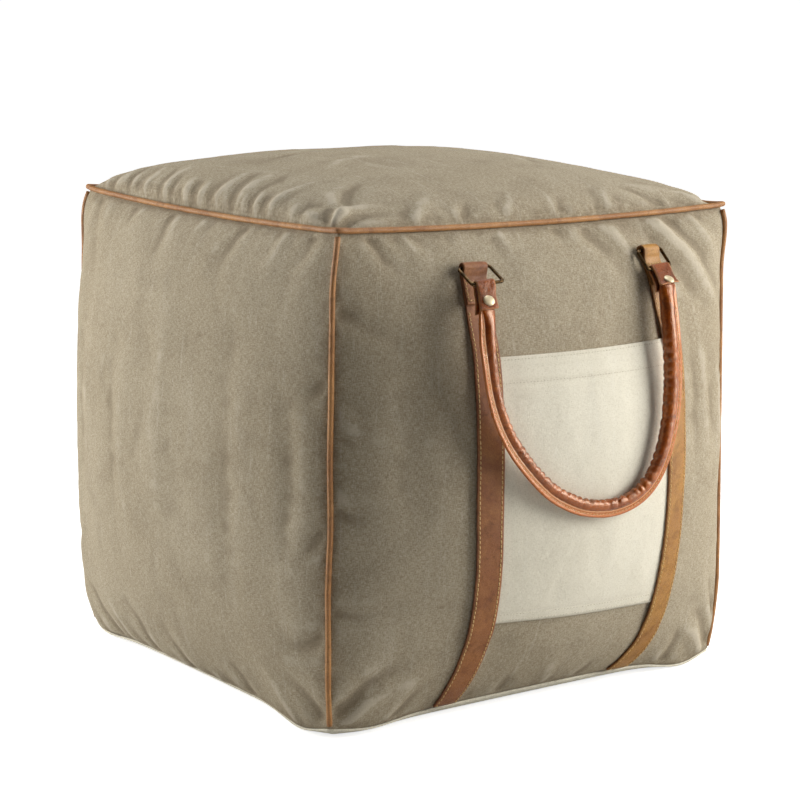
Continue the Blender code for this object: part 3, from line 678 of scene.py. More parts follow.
def crease_field(key, S, T):
    """Sum of the panel's creases at panel coordinates."""
    total = np.zeros(np.broadcast(S, T).shape)
    for k, (pts, width, height) in enumerate(CREASES[key]):
        path = catmull([(a, b, 0.0) for a, b in pts], 8)[:, :2] * 0.222
        best = np.full(total.shape, 1e9)
        along = np.zeros(total.shape)
        side_of = np.zeros(total.shape)
        seg = np.linalg.norm(np.diff(path, axis=0), axis=1)
        cum = np.concatenate([[0], np.cumsum(seg)])
        px, py = S * 0.222, T * 0.222
        wob = 0.0022 * noise2(px / 0.017, py / 0.017, 100 + k)
        for i in range(len(path) - 1):
            ax, ay = path[i]
            dx, dy = path[i + 1] - path[i]
            L = seg[i]
            u = np.clip(((px - ax) * dx + (py - ay) * dy) / (L * L), 0, 1)
            ex, ey = px - (ax + u * dx), py - (ay + u * dy)
            d = np.hypot(ex, ey)
            sg = np.sign(dx * ey - dy * ex)
            near = d < best
            best = np.where(near, d, best)
            along = np.where(near, cum[i] + u * L, along)
            side_of = np.where(near, sg, side_of)
        x = along / cum[-1]
        # strongest at its seam end, dying out into the panel
        start_seam = max(abs(pts[0][0]), abs(pts[0][1])) > 0.92
        if start_seam:
            env = (1 - x) ** 0.8 * smoothstep((x + 0.10) / 0.12)
        else:
            env = np.sin(np.pi * np.clip(x, 0.0, 1)) ** 0.7
        w = width * (1 + 0.6 * x if start_seam else 1.0)
        d = best * side_of + wob
        # a trough has a soft shoulder on each side; one side steeper than the other
        core = np.exp(-(d / w) ** 2)
        shoulder = 0.35 * (np.exp(-((d - 1.9 * w) / (1.3 * w)) ** 2) + 0.6 * np.exp(-((d + 2.1 * w) / (1.5 * w)) ** 2))
        fall = np.exp(-(np.maximum(best - 0, 0) / (4.5 * w)) ** 4)
        total += height * (core - shoulder * fall) * env
    return total


def relief(key, S, T):
    """Height of the canvas over its smooth stuffed shape, metres."""
    h = CREASE_GAIN * crease_field(key, S, T)
    seed = {"front": 3, "right": 13, "back": 23, "left": 33, "top": 43}[key]
    x, y = S * 0.222, T * 0.222
    # lumps of the filling
    h = h + 0.0011 * noise2(x / 0.085, y / 0.085, seed) + 0.0007 * noise2(x / 0.040, y / 0.040, seed + 1)
    # small puckers that the seam gathers into the cloth
    edge_s, edge_t = (1 - np.abs(S)) * 0.222, (1 - np.abs(T)) * 0.222
    for e, run, k in ((edge_s, y, 5), (edge_t, x, 6)):
        amp = np.exp(-e / 0.014) * (0.5 + 0.5 * noise2(run / 0.05, e * 0 + k, seed + 7))
        h = h + 0.0008 * amp * noise2(run / 0.0075 + e / 0.02, e / 0.030, seed + k)
    # fine crumple of washed canvas
    h = h + 0.00022 * noise2(x / 0.0125, y / 0.0105, seed + 2)
    if key == "front":
        # kept calmer under the straps and the pocket
        s0, s1 = strap_middle("strap_left", T), strap_middle("strap_right", T)
        inside = smoothstep((S - s0 + 0.09) / 0.05) * smoothstep((s1 + 0.09 - S) / 0.05) * \
            smoothstep((POCKET_TOP + 0.06 - T) / 0.05) * smoothstep((T - POCKET_BOTTOM_RIGHT + 0.05) / 0.05)
        under_strap = np.maximum(np.exp(-(np.abs(S - s0) / 0.075) ** 4), np.exp(-(np.abs(S - s1) / 0.075) ** 4))
        h = h * (1 - 0.55 * np.maximum(inside, under_strap))
    return h


CREASE_GAIN = 1.0

def soften(H, rounds):
    for _ in range(rounds):
        Q = np.pad(H, 1, mode="edge")
        H = 0.5 * H + 0.125 * (Q[:-2, 1:-1] + Q[2:, 1:-1] + Q[1:-1, :-2] + Q[1:-1, 2:])
    return H


GRIDS, FOLDS = {}, {}
for key, P in PANELS.items():
    n = grid_normals(P, FACING[key])
    h = relief(key, SS, TT) * edge_fade(SS, TT, 0.014 if key == "top" else 0.030)
    # how much a point stands over its surroundings, for the paler rubbed ridges and the painted shade in the troughs
    FOLDS[key] = np.clip((h - soften(h, 12)) / 0.0007, -1.5, 1.5)
    GRIDS[key] = P + n * h[..., None]
NORMALS = {k: grid_normals(P, FACING[k]) for k, P in GRIDS.items()}


def on_panel(key, s, t, out=0.0):
    """Point and normal on the finished panel at panel coordinates."""
    s, t = np.broadcast_arrays(np.asarray(s, float), np.asarray(t, float))
    fi = np.interp(t, even, np.arange(N + 1))
    fj = np.interp(s, even, np.arange(N + 1))
    i, j = np.clip(fi.astype(int), 0, N - 1), np.clip(fj.astype(int), 0, N - 1)
    a, b = (fi - i)[..., None], (fj - j)[..., None]

    def mix(G):
        return ((1 - a) * (1 - b) * G[i, j] + (1 - a) * b * G[i, j + 1]
                + a * (1 - b) * G[i + 1, j] + a * b * G[i + 1, j + 1])
    p, n = mix(GRIDS[key]), unit(mix(NORMALS[key]))
    return p + n * np.asarray(out, float)[..., None], n


def build_body():
    """One closed mesh: five canvas panels and the hidden underside."""
    verts, uvs, mats, faces, off = [], [], [], [], 0
    slots = {"front": 0, "right": 1, "back": 0, "left": 1, "top": 2}
    patches = [(k, GRIDS[k], False) for k in ("front", "right", "back", "left", "top")]
    under = underside_point(SS, TT)
    patches.append(("under", under, True))
    seam_near, folds = [], []
    for key, G, flip in patches:
        verts.append(G.reshape(-1, 3))
        # lengths along the cloth in metres, for the weave
        uvs.append(np.stack([SS * 0.235 + {"front": 0, "right": 1, "back": 2, "left": 3, "top": 4, "under": 5}[key],
                             TT * 0.235], -1).reshape(-1, 2))
        # closeness to the seams, which carries painted shade in the canvas material
        e = np.minimum(1 - np.abs(SS), 1 - np.abs(TT)) * HALF
        seam_near.append(np.exp(-e / 0.012).ravel())
        folds.append(FOLDS.get(key, np.zeros_like(SS)).ravel())
        f = grid_faces(N + 1, N + 1, off, flip)
        faces += f
        mats += [slots.get(key, 2)] * len(f)
        off += G.shape[0] * G.shape[1]
    obj = make_mesh("pouf_cover", np.concatenate(verts), faces, np.concatenate(uvs),
                    {"seam": np.concatenate(seam_near), "fold": np.concatenate(folds)})
    obj.data.polygons.foreach_set("material_index", np.array(mats, np.int32))
    bm = bmesh.new()
    bm.from_mesh(obj.data)
    bmesh.ops.remove_doubles(bm, verts=bm.verts[:], dist=2e-6)
    bmesh.ops.recalc_face_normals(bm, faces=bm.faces[:])
    if bm.calc_volume(signed=True) < 0:
        bmesh.ops.reverse_faces(bm, faces=bm.faces[:])
    bm.to_mesh(obj.data)
    bm.free()
    return obj


body = build_body()


# --------------------------------------------------------------------------
# base panel
# --------------------------------------------------------------------------
def build_base():
    m = 60
    q = np.linspace(-1, 1, m + 1)
    q = 0.6 * q + 0.4 * np.sin(q * np.pi / 2)
    s, t = np.meshgrid(q * 0.999, q * 0.999)
    over = underside_point(s, t, GAP)
    under_ = underside_point(s, t, GAP + BASE_THICK)
    under_[..., 2] = np.maximum(under_[..., 2], 0.0)
    uv = np.stack([s * 0.22, t * 0.22], -1)
    return shell("base_cloth", under_, over, uv)


base = build_base()


# --------------------------------------------------------------------------
# piping
# --------------------------------------------------------------------------
from mathutils.bvhtree import BVHTree

_bm = bmesh.new()
_bm.from_mesh(body.data)
body_tree = BVHTree.FromBMesh(_bm)
_bm.free()


def push_clear(p, out, need):
    p, out = Vector(p), Vector(out)
    for _ in range(10):
        hit, normal, index, dist = body_tree.find_nearest(p)
        if dist >= need:
            break
        p = p + out * max(need - dist, 0.0001)
    return np.array(p)


def smooth_path(path, closed, rounds=2):
    path = np.array(path)
    for _ in range(rounds):
        if closed:
            path = 0.5 * path + 0.25 * (np.roll(path, 1, 0) + np.roll(path, -1, 0))
        else:
            path[1:-1] = 0.5 * path[1:-1] + 0.25 * (path[:-2] + path[2:])
    return path


def piping_ring(count, lengths, seed, radius=PIPING_R, sides=14):
    """Slightly uneven round section."""
    ang = np.arange(sides) / sides * 2 * np.pi
    r = radius * (1 + 0.035 * hash_noise(lengths / 0.009, seed)[:, None]
                  + 0.03 * hash_noise(lengths / 0.031, seed + 3)[:, None]
                  + 0.02 * noise2(lengths[:, None] / 0.004, ang[None, :] * 2.0, seed + 5))
    return np.stack([r * np.cos(ang), r * np.sin(ang)], -1)


NEED = PIPING_R + 0.0002
side_cycle = ("front", "right", "back", "left")


def build_piping_top():
    path, outs = [], []
    q = np.linspace(-1, 1, 111)[2:-2]
    for side in side_cycle:
        facing = np.array(SIDES[side][2])
        base_pts = top_seam(side, q)
        for s, p in zip(q, base_pts):
            out = unit(facing + np.array((0, 0, 0.9)))
            path.append(push_clear(p + out * (PIPING_R * 0.9), out, NEED))
            outs.append(out)
        nxt = np.array(SIDES[side_cycle[(side_cycle.index(side) + 1) % 4]][2])
        at = top_seam(side, np.array(1.0))
        for w in (0.08, 0.3, 0.5, 0.7, 0.92):
            flat = unit(facing * (1 - w) + nxt * w)
            out = unit(flat + np.array((0, 0, 0.9)))
            path.append(push_clear(at + out * (NEED + 0.0012), out, NEED))
            outs.append(out)
    path = smooth_path(path, True, 2)
    outs = np.array(outs)
    t, a, b = frames(path, outs, True)
    d = np.concatenate([[0], np.cumsum(np.linalg.norm(np.diff(path, axis=0), axis=1))])
    ring = piping_ring(len(path), d, 11)
    return tube("piping_top_cord", path, a, b, ring, True, d), path, outs


piping_top, piping_top_path, piping_top_out = build_piping_top()


def join_mark(obj, at, half):
    """Pinch the cord and darken it where its two ends meet."""
    me = obj.data
    V = np.empty(len(me.vertices) * 3)
    me.vertices.foreach_get("co", V)
    V = V.reshape(-1, 3)
    near = np.abs(V[:, 1] - at[1])
    grip_in = np.exp(-(near / half) ** 2) * (V[:, 0] < at[0] + 0.02)
    for c in (0, 2):
        V[:, c] = V[:, c] + (at[c] - V[:, c]) * 0.22 * grip_in
    me.vertices.foreach_set("co", V.reshape(-1))
    mark = me.attributes.new("edge", "FLOAT", "POINT")
    mark.data.foreach_set("value", np.ascontiguousarray(1.6 * grip_in, dtype=np.float32))
    me.update()


left_run = piping_top_path[piping_top_path[:, 0] < -HALF * 0.9]
join_mark(piping_top, left_run[np.argmin(np.abs(left_run[:, 1] - 0.032))], 0.0016)
pipings = [piping_top]
# which way the sewn-in cord leans out of its seam, degrees about +Z
# and how much of its radius stands clear of the canvas
PIPING_SEAT = {"front_left": 0.90, "front_right": 0.35, "back_right": 0.50, "back_left": 0.30}
PIPING_LEAN = {"front_left": 0.0, "front_right": 0.0, "back_right": 0.0, "back_left": -45.0}
# how far its ends sink into the rounded corners: low end, high end, and along the whole run
PIPING_SINK = {"front_left": (0.0008, 0.0, 0.0), "front_right": (0.0018, 0.0, 0.0),
               "back_right": (0.0010, 0.0, 0.0), "back_left": (0.0010, 0.0, 0.0)}
for k, name in enumerate(ORDER):
    lean = math.radians(PIPING_LEAN[name])
    out = out_of(name)
    out = np.array((out[0] * math.cos(lean) - out[1] * math.sin(lean),
                    out[0] * math.sin(lean) + out[1] * math.cos(lean), 0.0))
    ts = np.linspace(-0.985, 0.987, 121)
    seat = PIPING_SEAT[name] * PIPING_R
    line = np.array([push_clear(p, out, seat * (0.45 + 0.55 * float(smoothstep((t + 0.98) / 0.35))))
                     for t, p in zip(ts, upright_seam(name, ts))])
    low, high, whole = PIPING_SINK[name]
    sink = whole + low * (1 - smoothstep((ts + 0.95) / 0.30)) + high * smoothstep((ts - 0.62) / 0.36)
    line = line - out_of(name) * sink[:, None]
    line = smooth_path(line, False, 2)
    sway = np.cross((0, 0, 1.0), out)
    d = np.concatenate([[0], np.cumsum(np.linalg.norm(np.diff(line, axis=0), axis=1))])
    line = line + sway * (0.0012 * hash_noise(d / 0.06, 20 + k) * np.sin(np.linspace(0, np.pi, len(d))))[:, None]
    t, a, b = frames(line, out)
    pipings.append(tube("piping_" + name + "_cord", line, a, b, piping_ring(len(line), d, 30 + k), False, d))


# --------------------------------------------------------------------------
# pocket
# --------------------------------------------------------------------------
def pocket_low(w):
    return POCKET_BOTTOM_LEFT * (1 - w) + POCKET_BOTTOM_RIGHT * w


def pocket_st(w, v):
    """Panel coordinates of pocket coordinates w (left to right), v (bottom to top)."""
    low = pocket_low(w)
    t = low + (POCKET_TOP - low) * v
    s0, s1 = strap_middle("strap_left", t), strap_middle("strap_right", t)
    return s0 + (s1 - s0) * w, t


HEM = 0.098            # hem depth as part of the pocket's height


def pocket_out(w, v):
    """Height of the pocket's outer face above the panel."""
    h = GAP + POCKET_T + 0 * w
    hem = smoothstep((v - (1 - HEM)) / 0.006)
    h = h + 0.00055 * hem
    # stitched lines pull the cloth in
    for line, depth in ((1 - HEM + 0.004, 0.00040), (0.988, 0.00035), (0.010, 0.00035), (0.033, 0.00035)):
        h = h - depth * np.exp(-((v - line) / 0.0055) ** 2)
    # faint slack of the loose cloth
    h = h + 0.0007 * (noise2(w * 5.0, v * 3.4, 41) * 0.6 + 0.4 * noise2(w * 11, v * 7, 42)) * \
        smoothstep(w / 0.12) * smoothstep((1 - w) / 0.12) * smoothstep(v / 0.08) * smoothstep((1 - v) / 0.03)
    return h


def build_pocket():
    m = 110
    w, v = np.meshgrid(np.linspace(0, 1, m + 1), np.linspace(0, 1, m + 1))
    s, t = pocket_st(w, v)
    under_, _ = on_panel("front", s, t, GAP * 0.75)
    over, _ = on_panel("front", s, t, pocket_out(w, v))
    uv = np.stack([w * 0.232, v * 0.262], -1)
    return shell("pocket_cloth", under_, over, uv)


pocket = build_pocket()


def pocket_row(v, w0=0.06, w1=0.945, count=160):
    w = np.linspace(w0, w1, count)
    s, t = pocket_st(w, np.full_like(w, v))
    return on_panel("front", s, t, pocket_out(w, np.full_like(w, v)))


pocket_stitches = []
for k, (v, pitch) in enumerate(((1 - HEM + 0.004, 0.0034), (0.988, 0.0034), (0.010, 0.0034), (0.033, 0.0034))):
    p, n = pocket_row(v)
    pocket_stitches += stitch_row(p, n, pitch, pitch * 0.74, 0.00030, 0.00030, 50 + k)
pocket_thread = join_meshes("pocket_thread", pocket_stitches)


# --------------------------------------------------------------------------
# straps
# --------------------------------------------------------------------------
def strap_offset(name, t):
    low = POCKET_BOTTOM_LEFT if name == "strap_left" else POCKET_BOTTOM_RIGHT
    over = smoothstep((POCKET_TOP + 0.145 - t) / 0.13) * smoothstep((t - low + 0.145) / 0.13)
    return GAP + 0.0001 + STRAP_LIFT * over


def strap_scale(name, t):
    """Metres per unit of the across coordinate at height t."""
    s = strap_middle(name, t)
    a, _ = on_panel("front", s + 0.02, t)
    b, _ = on_panel("front", s - 0.02, t)
    return np.linalg.norm(a - b, axis=-1) / 0.04


def strap_section(m=17):
    """Across positions (-1..1) and outer-face relief of a strap, edge to edge."""
    w = np.sin(np.linspace(-1, 1, m) * np.pi / 2 * 0.97) / math.sin(np.pi / 2 * 0.97)
    edge = 0.00055 * np.clip((np.abs(w) - 0.93) / 0.07, 0, 1) ** 2
    groove = 0.00022 * np.exp(-((np.abs(w) - 0.80) / 0.055) ** 2)
    crown = 0.00015 * (1 - w ** 2)
    return w, crown - edge - groove


def build_strap(name):
    w, relief_w = strap_section()
    m = len(w)
    STRAP_TOP, top_width = STRAP_TOPS[name]
    rows_c, rows_n, rows_in, rows_out, length = [], [], [], [], []
    ts = np.linspace(-0.985, STRAP_TOP, 190)
    s_mid = strap_middle(name, ts)
    per = strap_scale(name, ts)
    wid = STRAP_W / 2 * (1 + 0.012 * hash_noise(ts * 9, 61) + 0.008 * hash_noise(ts * 31, 62))
    wid = wid * (1 + (top_width - 1) * smoothstep((ts - STRAP_TOP + 0.30) / 0.25))
    S = s_mid[:, None] + (w[None, :] * wid[:, None]) / per[:, None]
    T = np.repeat(ts[:, None], m, 1)
    base_p, base_n = on_panel("front", S, T, 0.0)
    mid_n = unit(base_n[:, m // 2])
    off = strap_offset(name, ts)
    # the strap is stiffer than the cloth: straighten it a little across
    centre = base_p + mid_n[:, None, :] * (off + STRAP_T / 2)[:, None, None]
    C = [c for c in centre]
    TH = [np.repeat(n[None, :], m, 0) for n in mid_n]
    # the rolled loop
    bases, normal = base_p[-1], mid_n[-1]
    up = unit(base_p[-1, m // 2] - base_p[-2, m // 2])
    up = unit(up - normal * np.dot(up, normal))
    h0 = off[-1] + STRAP_T / 2
    middle = h0 + LOOP_R
    degs = np.linspace(170, -45, 26)
    for deg in degs:
        a = math.radians(deg)
        radial = normal * math.cos(a) + up * math.sin(a)
        C.append(bases + normal * middle + radial * LOOP_R)
        TH.append(np.repeat(-radial[None, :], m, 0))
    # back to the strap's front
    fold = h0 + STRAP_T + GAP
    a0 = math.radians(-45)
    start = np.array([middle + LOOP_R * math.cos(a0), LOOP_R * math.sin(a0)])
    turn = [start, np.array([middle + 0.0012, -0.0050]), np.array([fold + 0.0008, -0.0072]),
            np.array([fold + 0.00005, -0.0095])]
    prev = start
    curve = catmull([np.append(q, 0) for q in turn], 4)[1:]
    for k, q in enumerate(curve):
        nxt = curve[min(k + 1, len(curve) - 1)]
        d = unit((nxt - (curve[k - 1] if k else np.append(start, 0)))[:2])
        nn = np.array([-d[1], d[0]])              # to the strap side
        nrm = normal * nn[0] + up * nn[1]
        if np.dot(nrm, normal) > 0.35:
            nrm = -nrm
        C.append(bases + normal * q[0] + up * q[1])
        TH.append(np.repeat(unit(nrm)[None, :], m, 0))
    ds = np.linspace(0.0105, FOLD_BACK, 14)
    for dd in ds:
        tt = STRAP_TOP - dd / 0.216
        s2 = strap_middle(name, tt)
        per2 = strap_scale(name, np.array(tt))
        p2, n2 = on_panel("front", s2 + w * STRAP_W * top_width / 2 / per2, np.full(m, tt))
        n2m = n2[m // 2]
        C.append(p2 + n2m * (strap_offset(name, tt) + STRAP_T * 1.5 + GAP + 0.0001))
        TH.append(np.repeat(-n2m[None, :], m, 0))
    C, TH = np.array(C), np.array(TH)
    lying = len(ts)
    under_ = C - TH * STRAP_T / 2
    over = C + TH * STRAP_T / 2
    # relief goes on the side that shows: the outer face while lying, the other one after the roll
    over[:lying] += TH[:lying] * relief_w[None, :, None]
    under_[lying + 8:] -= TH[lying + 8:] * relief_w[None, :, None]
    d = np.concatenate([[0], np.cumsum(np.linalg.norm(np.diff(C[:, m // 2], axis=0), axis=1))])
    uv = np.stack(np.broadcast_arrays(d[:, None], (w * STRAP_W / 2)[None, :]), -1)
    edge = np.broadcast_to(np.exp(-(1 - np.abs(w)) / 0.08)[None, :], uv.shape[:2])
    obj = shell(name + "_leather", under_, over, uv, {"edge": edge})
    # stitches along both edges
    parts = []
    last = ts <= STRAP_TOP - FOLD_BACK / 0.216
    for k, ww in enumerate((-0.80, 0.80)):
        j = np.array([np.interp(ww, w, np.arange(m))])[0]
        j0 = int(j)
        f = j - j0
        line = over[:lying][last]
        line = line[:, j0] * (1 - f) + line[:, j0 + 1] * f
        parts += stitch_row(line, mid_n[last], 0.0044, 0.0032, 0.00052, 0.00050, 70 + k)
    # stitches across: below the roll and at the folded end
    front = under_[lying:]
    fn = -TH[lying:]
    for idx, span in ((-3, 0.86), (-13, 0.80)):
        ww = np.linspace(-span, span, 40)
        line = np.stack([np.interp(ww, w, front[idx][:, c]) for c in range(3)], -1)
        parts += stitch_row(line, np.repeat(fn[idx][:1], 40, 0), 0.0038, 0.0028, 0.00048, 0.00048, 80 + idx)
    # and along both edges of the folded end
    for ww in (-0.82, 0.82):
        line = np.array([[np.interp(ww, w, front[i][:, c]) for c in range(3)] for i in range(-14, 0)])
        parts += stitch_row(line, fn[-14:, 0], 0.0044, 0.0032, 0.00050, 0.00050, 90)
    thread = join_meshes(name + "_thread", parts)
    ring_at = bases.mean(0) + normal * middle
    b3 = side_bases_cad(name)
    return obj, thread, ring_at, unit(bases[-1] - bases[0]), d[-1]


def side_bases_cad(name):
    return None


hold, straps = {}, {}
for which in ("left", "right"):
    obj, thread, at, across, run_len = build_strap("strap_" + which)
    straps[which] = (obj, thread, run_len)
    hold[which] = [at, across]


# --------------------------------------------------------------------------
# rings, tabs, rivets
# --------------------------------------------------------------------------
def ring_frame(which, at, across):
    sideways, outwards, down, turn = RINGS[which]
    fall = np.array((sideways, -outwards, -down))
    reach = np.linalg.norm(fall)
    fall = fall / reach
    wide2 = unit(across + np.array((0, 0, math.tan(math.radians(turn)))))
    fall = unit(fall - wide2 * np.dot(fall, wide2))
    return wide2, fall, reach


def build_ring(which, at, wide, fall, reach):
    r = RING_CORNER
    path = []
    corners = ((RING_W / 2 - r, r, -90), (RING_W / 2 - r, reach - r, 0),
               (-RING_W / 2 + r, reach - r, 90), (-RING_W / 2 + r, r, 180))
    for cx, cy, start in corners:
        for k in range(11):
            a = math.radians(start + 90 * k / 10)
            path.append(at + wide * (cx + r * math.cos(a)) + fall * (cy + r * math.sin(a)))
    path = np.array(path)
    # add points on the straights
    dense = []
    for k in range(len(path)):
        p, q = path[k], path[(k + 1) % len(path)]
        n = max(1, int(np.linalg.norm(q - p) / 0.0015))
        for i in range(n):
            dense.append(p + (q - p) * i / n)
    path = np.array(dense)
    side = unit(np.cross(wide, fall))
    t, a, b = frames(path, side, True)
    d = np.arange(len(path)) * 0.001
    ang = np.arange(16) / 16 * 2 * np.pi
    rr = RING_WIRE_R * (1 + 0.02 * noise2(d[:, None] / 0.003, ang[None, :], 5))
    ring = np.stack([rr * np.cos(ang), rr * np.sin(ang)], -1)
    return tube("ring_" + which + "_wire", path, a, b, ring, True, d)


def build_tab(which, bar, wide):
    shift, sideways, outwards, down, wide_top, wide_end, rivet_at = TABS[which]
    top = bar + wide * shift
    run = np.array((sideways, -outwards, -down))
    length = np.linalg.norm(run)
    run = run / length
    across = wide
    face = unit(np.cross(across, run))
    if face[1] > 0:
        face = -face
    rise = unit(run - across * np.dot(run, across))
    inner = RING_WIRE_R + 0.0006
    mid = inner + TAB_T / 2
    profile = ((0.0, inner), (0.005, 0.0024), (0.011, 0.0026), (0.018, 0.0032), (0.025, 0.0044), (length, 0.0052))

    def half_gap(d):
        return table_value(profile, d)

    m = 15
    w = np.linspace(-1, 1, m)
    C, TH, W, D = [], [], [], []
    down_stops = np.linspace(length, 0.003, 26)
    seed = 3 if which == "left" else 8

    def width_at(d):
        flare = smoothstep((d - 0.009) / (length - 0.009)) ** 1.2
        waist = -0.0012 * np.exp(-((d - 0.012) / 0.006) ** 2)
        return wide_top + waist + (wide_end - wide_top) * flare

    def curl(d):
        """The free end wraps towards the handle at its sides."""
        return 0.0012 * (np.clip(d / length, 0, 1) ** 2) * w ** 2

    def crumple(d, sgn):
        return 0.00035 * noise2(w * 2.2 + seed, np.full(m, d / 0.006 + sgn * 7), seed)

    for d in down_stops:
        c = top + run * d - face * (half_gap(d) + TAB_T / 2)
        C.append(c + across * w[:, None] * width_at(d) / 2 + face * (curl(d) * 0.5 + crumple(d, 1))[:, None])
        TH.append(np.repeat(-face[None], m, 0)); D.append(-d)
    for deg in np.linspace(180, 0, 19)[1:-1]:
        a = math.radians(deg)
        radial = unit(face * math.cos(a) - rise * math.sin(a))
        C.append(top + radial * mid + across * w[:, None] * wide_top / 2)
        TH.append(np.repeat(radial[None], m, 0)); D.append(0.0)
    for d in down_stops[::-1]:
        c = top + run * d + face * (half_gap(d) + TAB_T / 2)
        puff = 0.0008 * np.exp(-((d - 0.0085) / 0.005) ** 2) * (1 - w ** 2)
        C.append(c + across * w[:, None] * width_at(d) / 2
                 - face * (curl(d) - puff + crumple(d, 2))[:, None])
        TH.append(np.repeat(face[None], m, 0)); D.append(d)
    C, TH, D = np.array(C), np.array(TH), np.array(D)
    edge_drop = 0.0005 * np.clip((np.abs(w) - 0.86) / 0.14, 0, 1) ** 2
    under_ = C - TH * TAB_T / 2
    over = C + TH * (TAB_T / 2 - edge_drop[None, :, None])
    uv = np.stack(np.broadcast_arrays(D[:, None], (w * 0.0115)[None, :]), -1)
    edge = np.broadcast_to(np.exp(-(1 - np.abs(w)) / 0.10)[None, :], uv.shape[:2]) * 1.0
    end = np.exp(-(length - np.abs(D)) / 0.0012)[:, None]
    obj = shell("tab_" + which + "_leather", under_, over, uv, {"edge": np.maximum(edge, end)})
    # rivet cap, pressed into the leather
    d = rivet_at
    slope = (half_gap(d + 0.003) - half_gap(d - 0.003)) / 0.006
    skin = unit(face - rise * slope)
    along = unit(np.cross(skin, across))
    at = top + run * d + face * (half_gap(d) + TAB_T / 2) + skin * (TAB_T / 2 + 0.0002)
    prof = ((0.0, -0.0003), (1.0, -0.0003), (1.0, 0.0004), (0.985, 0.0008), (0.94, 0.00112), (0.84, 0.00140),
            (0.66, 0.00165), (0.42, 0.00182), (0.2, 0.0019))
    sides = 40
    verts, faces = [], []
    ang = np.arange(sides) / sides * 2 * np.pi
    for fr, hh in prof[1:]:
        verts += [at + skin * hh + RIVET_R * fr * (math.cos(q) * across + math.sin(q) * along) for q in ang]
    rings = len(prof) - 1
    faces = grid_faces(rings, sides, close_cols=True)
    faces.append(tuple(range(sides))[::-1])
    verts.append(at + skin * 0.00192)
    for j in range(sides):
        faces.append(((rings - 1) * sides + j, (rings - 1) * sides + (j + 1) % sides, len(verts) - 1))
    riv = make_mesh("rivet_" + which + "_cap", np.array(verts), faces)
    fix_normals(riv)
    return obj, riv, top, run, face, length


rings, tabs, rivets, grip = {}, {}, {}, {}
RIG = []
for which in ("left", "right"):
    at, across = hold[which]
    wide, fall, reach = ring_frame(which, at, across)
    rings[which] = build_ring(which, at, wide, fall, reach)
    RIG.append((which, at, wide, fall, reach))
    t_obj, r_obj, top, run, face, length = build_tab(which, at + fall * reach, wide)
    tabs[which], rivets[which], grip[which] = t_obj, r_obj, (top, run, face, length)


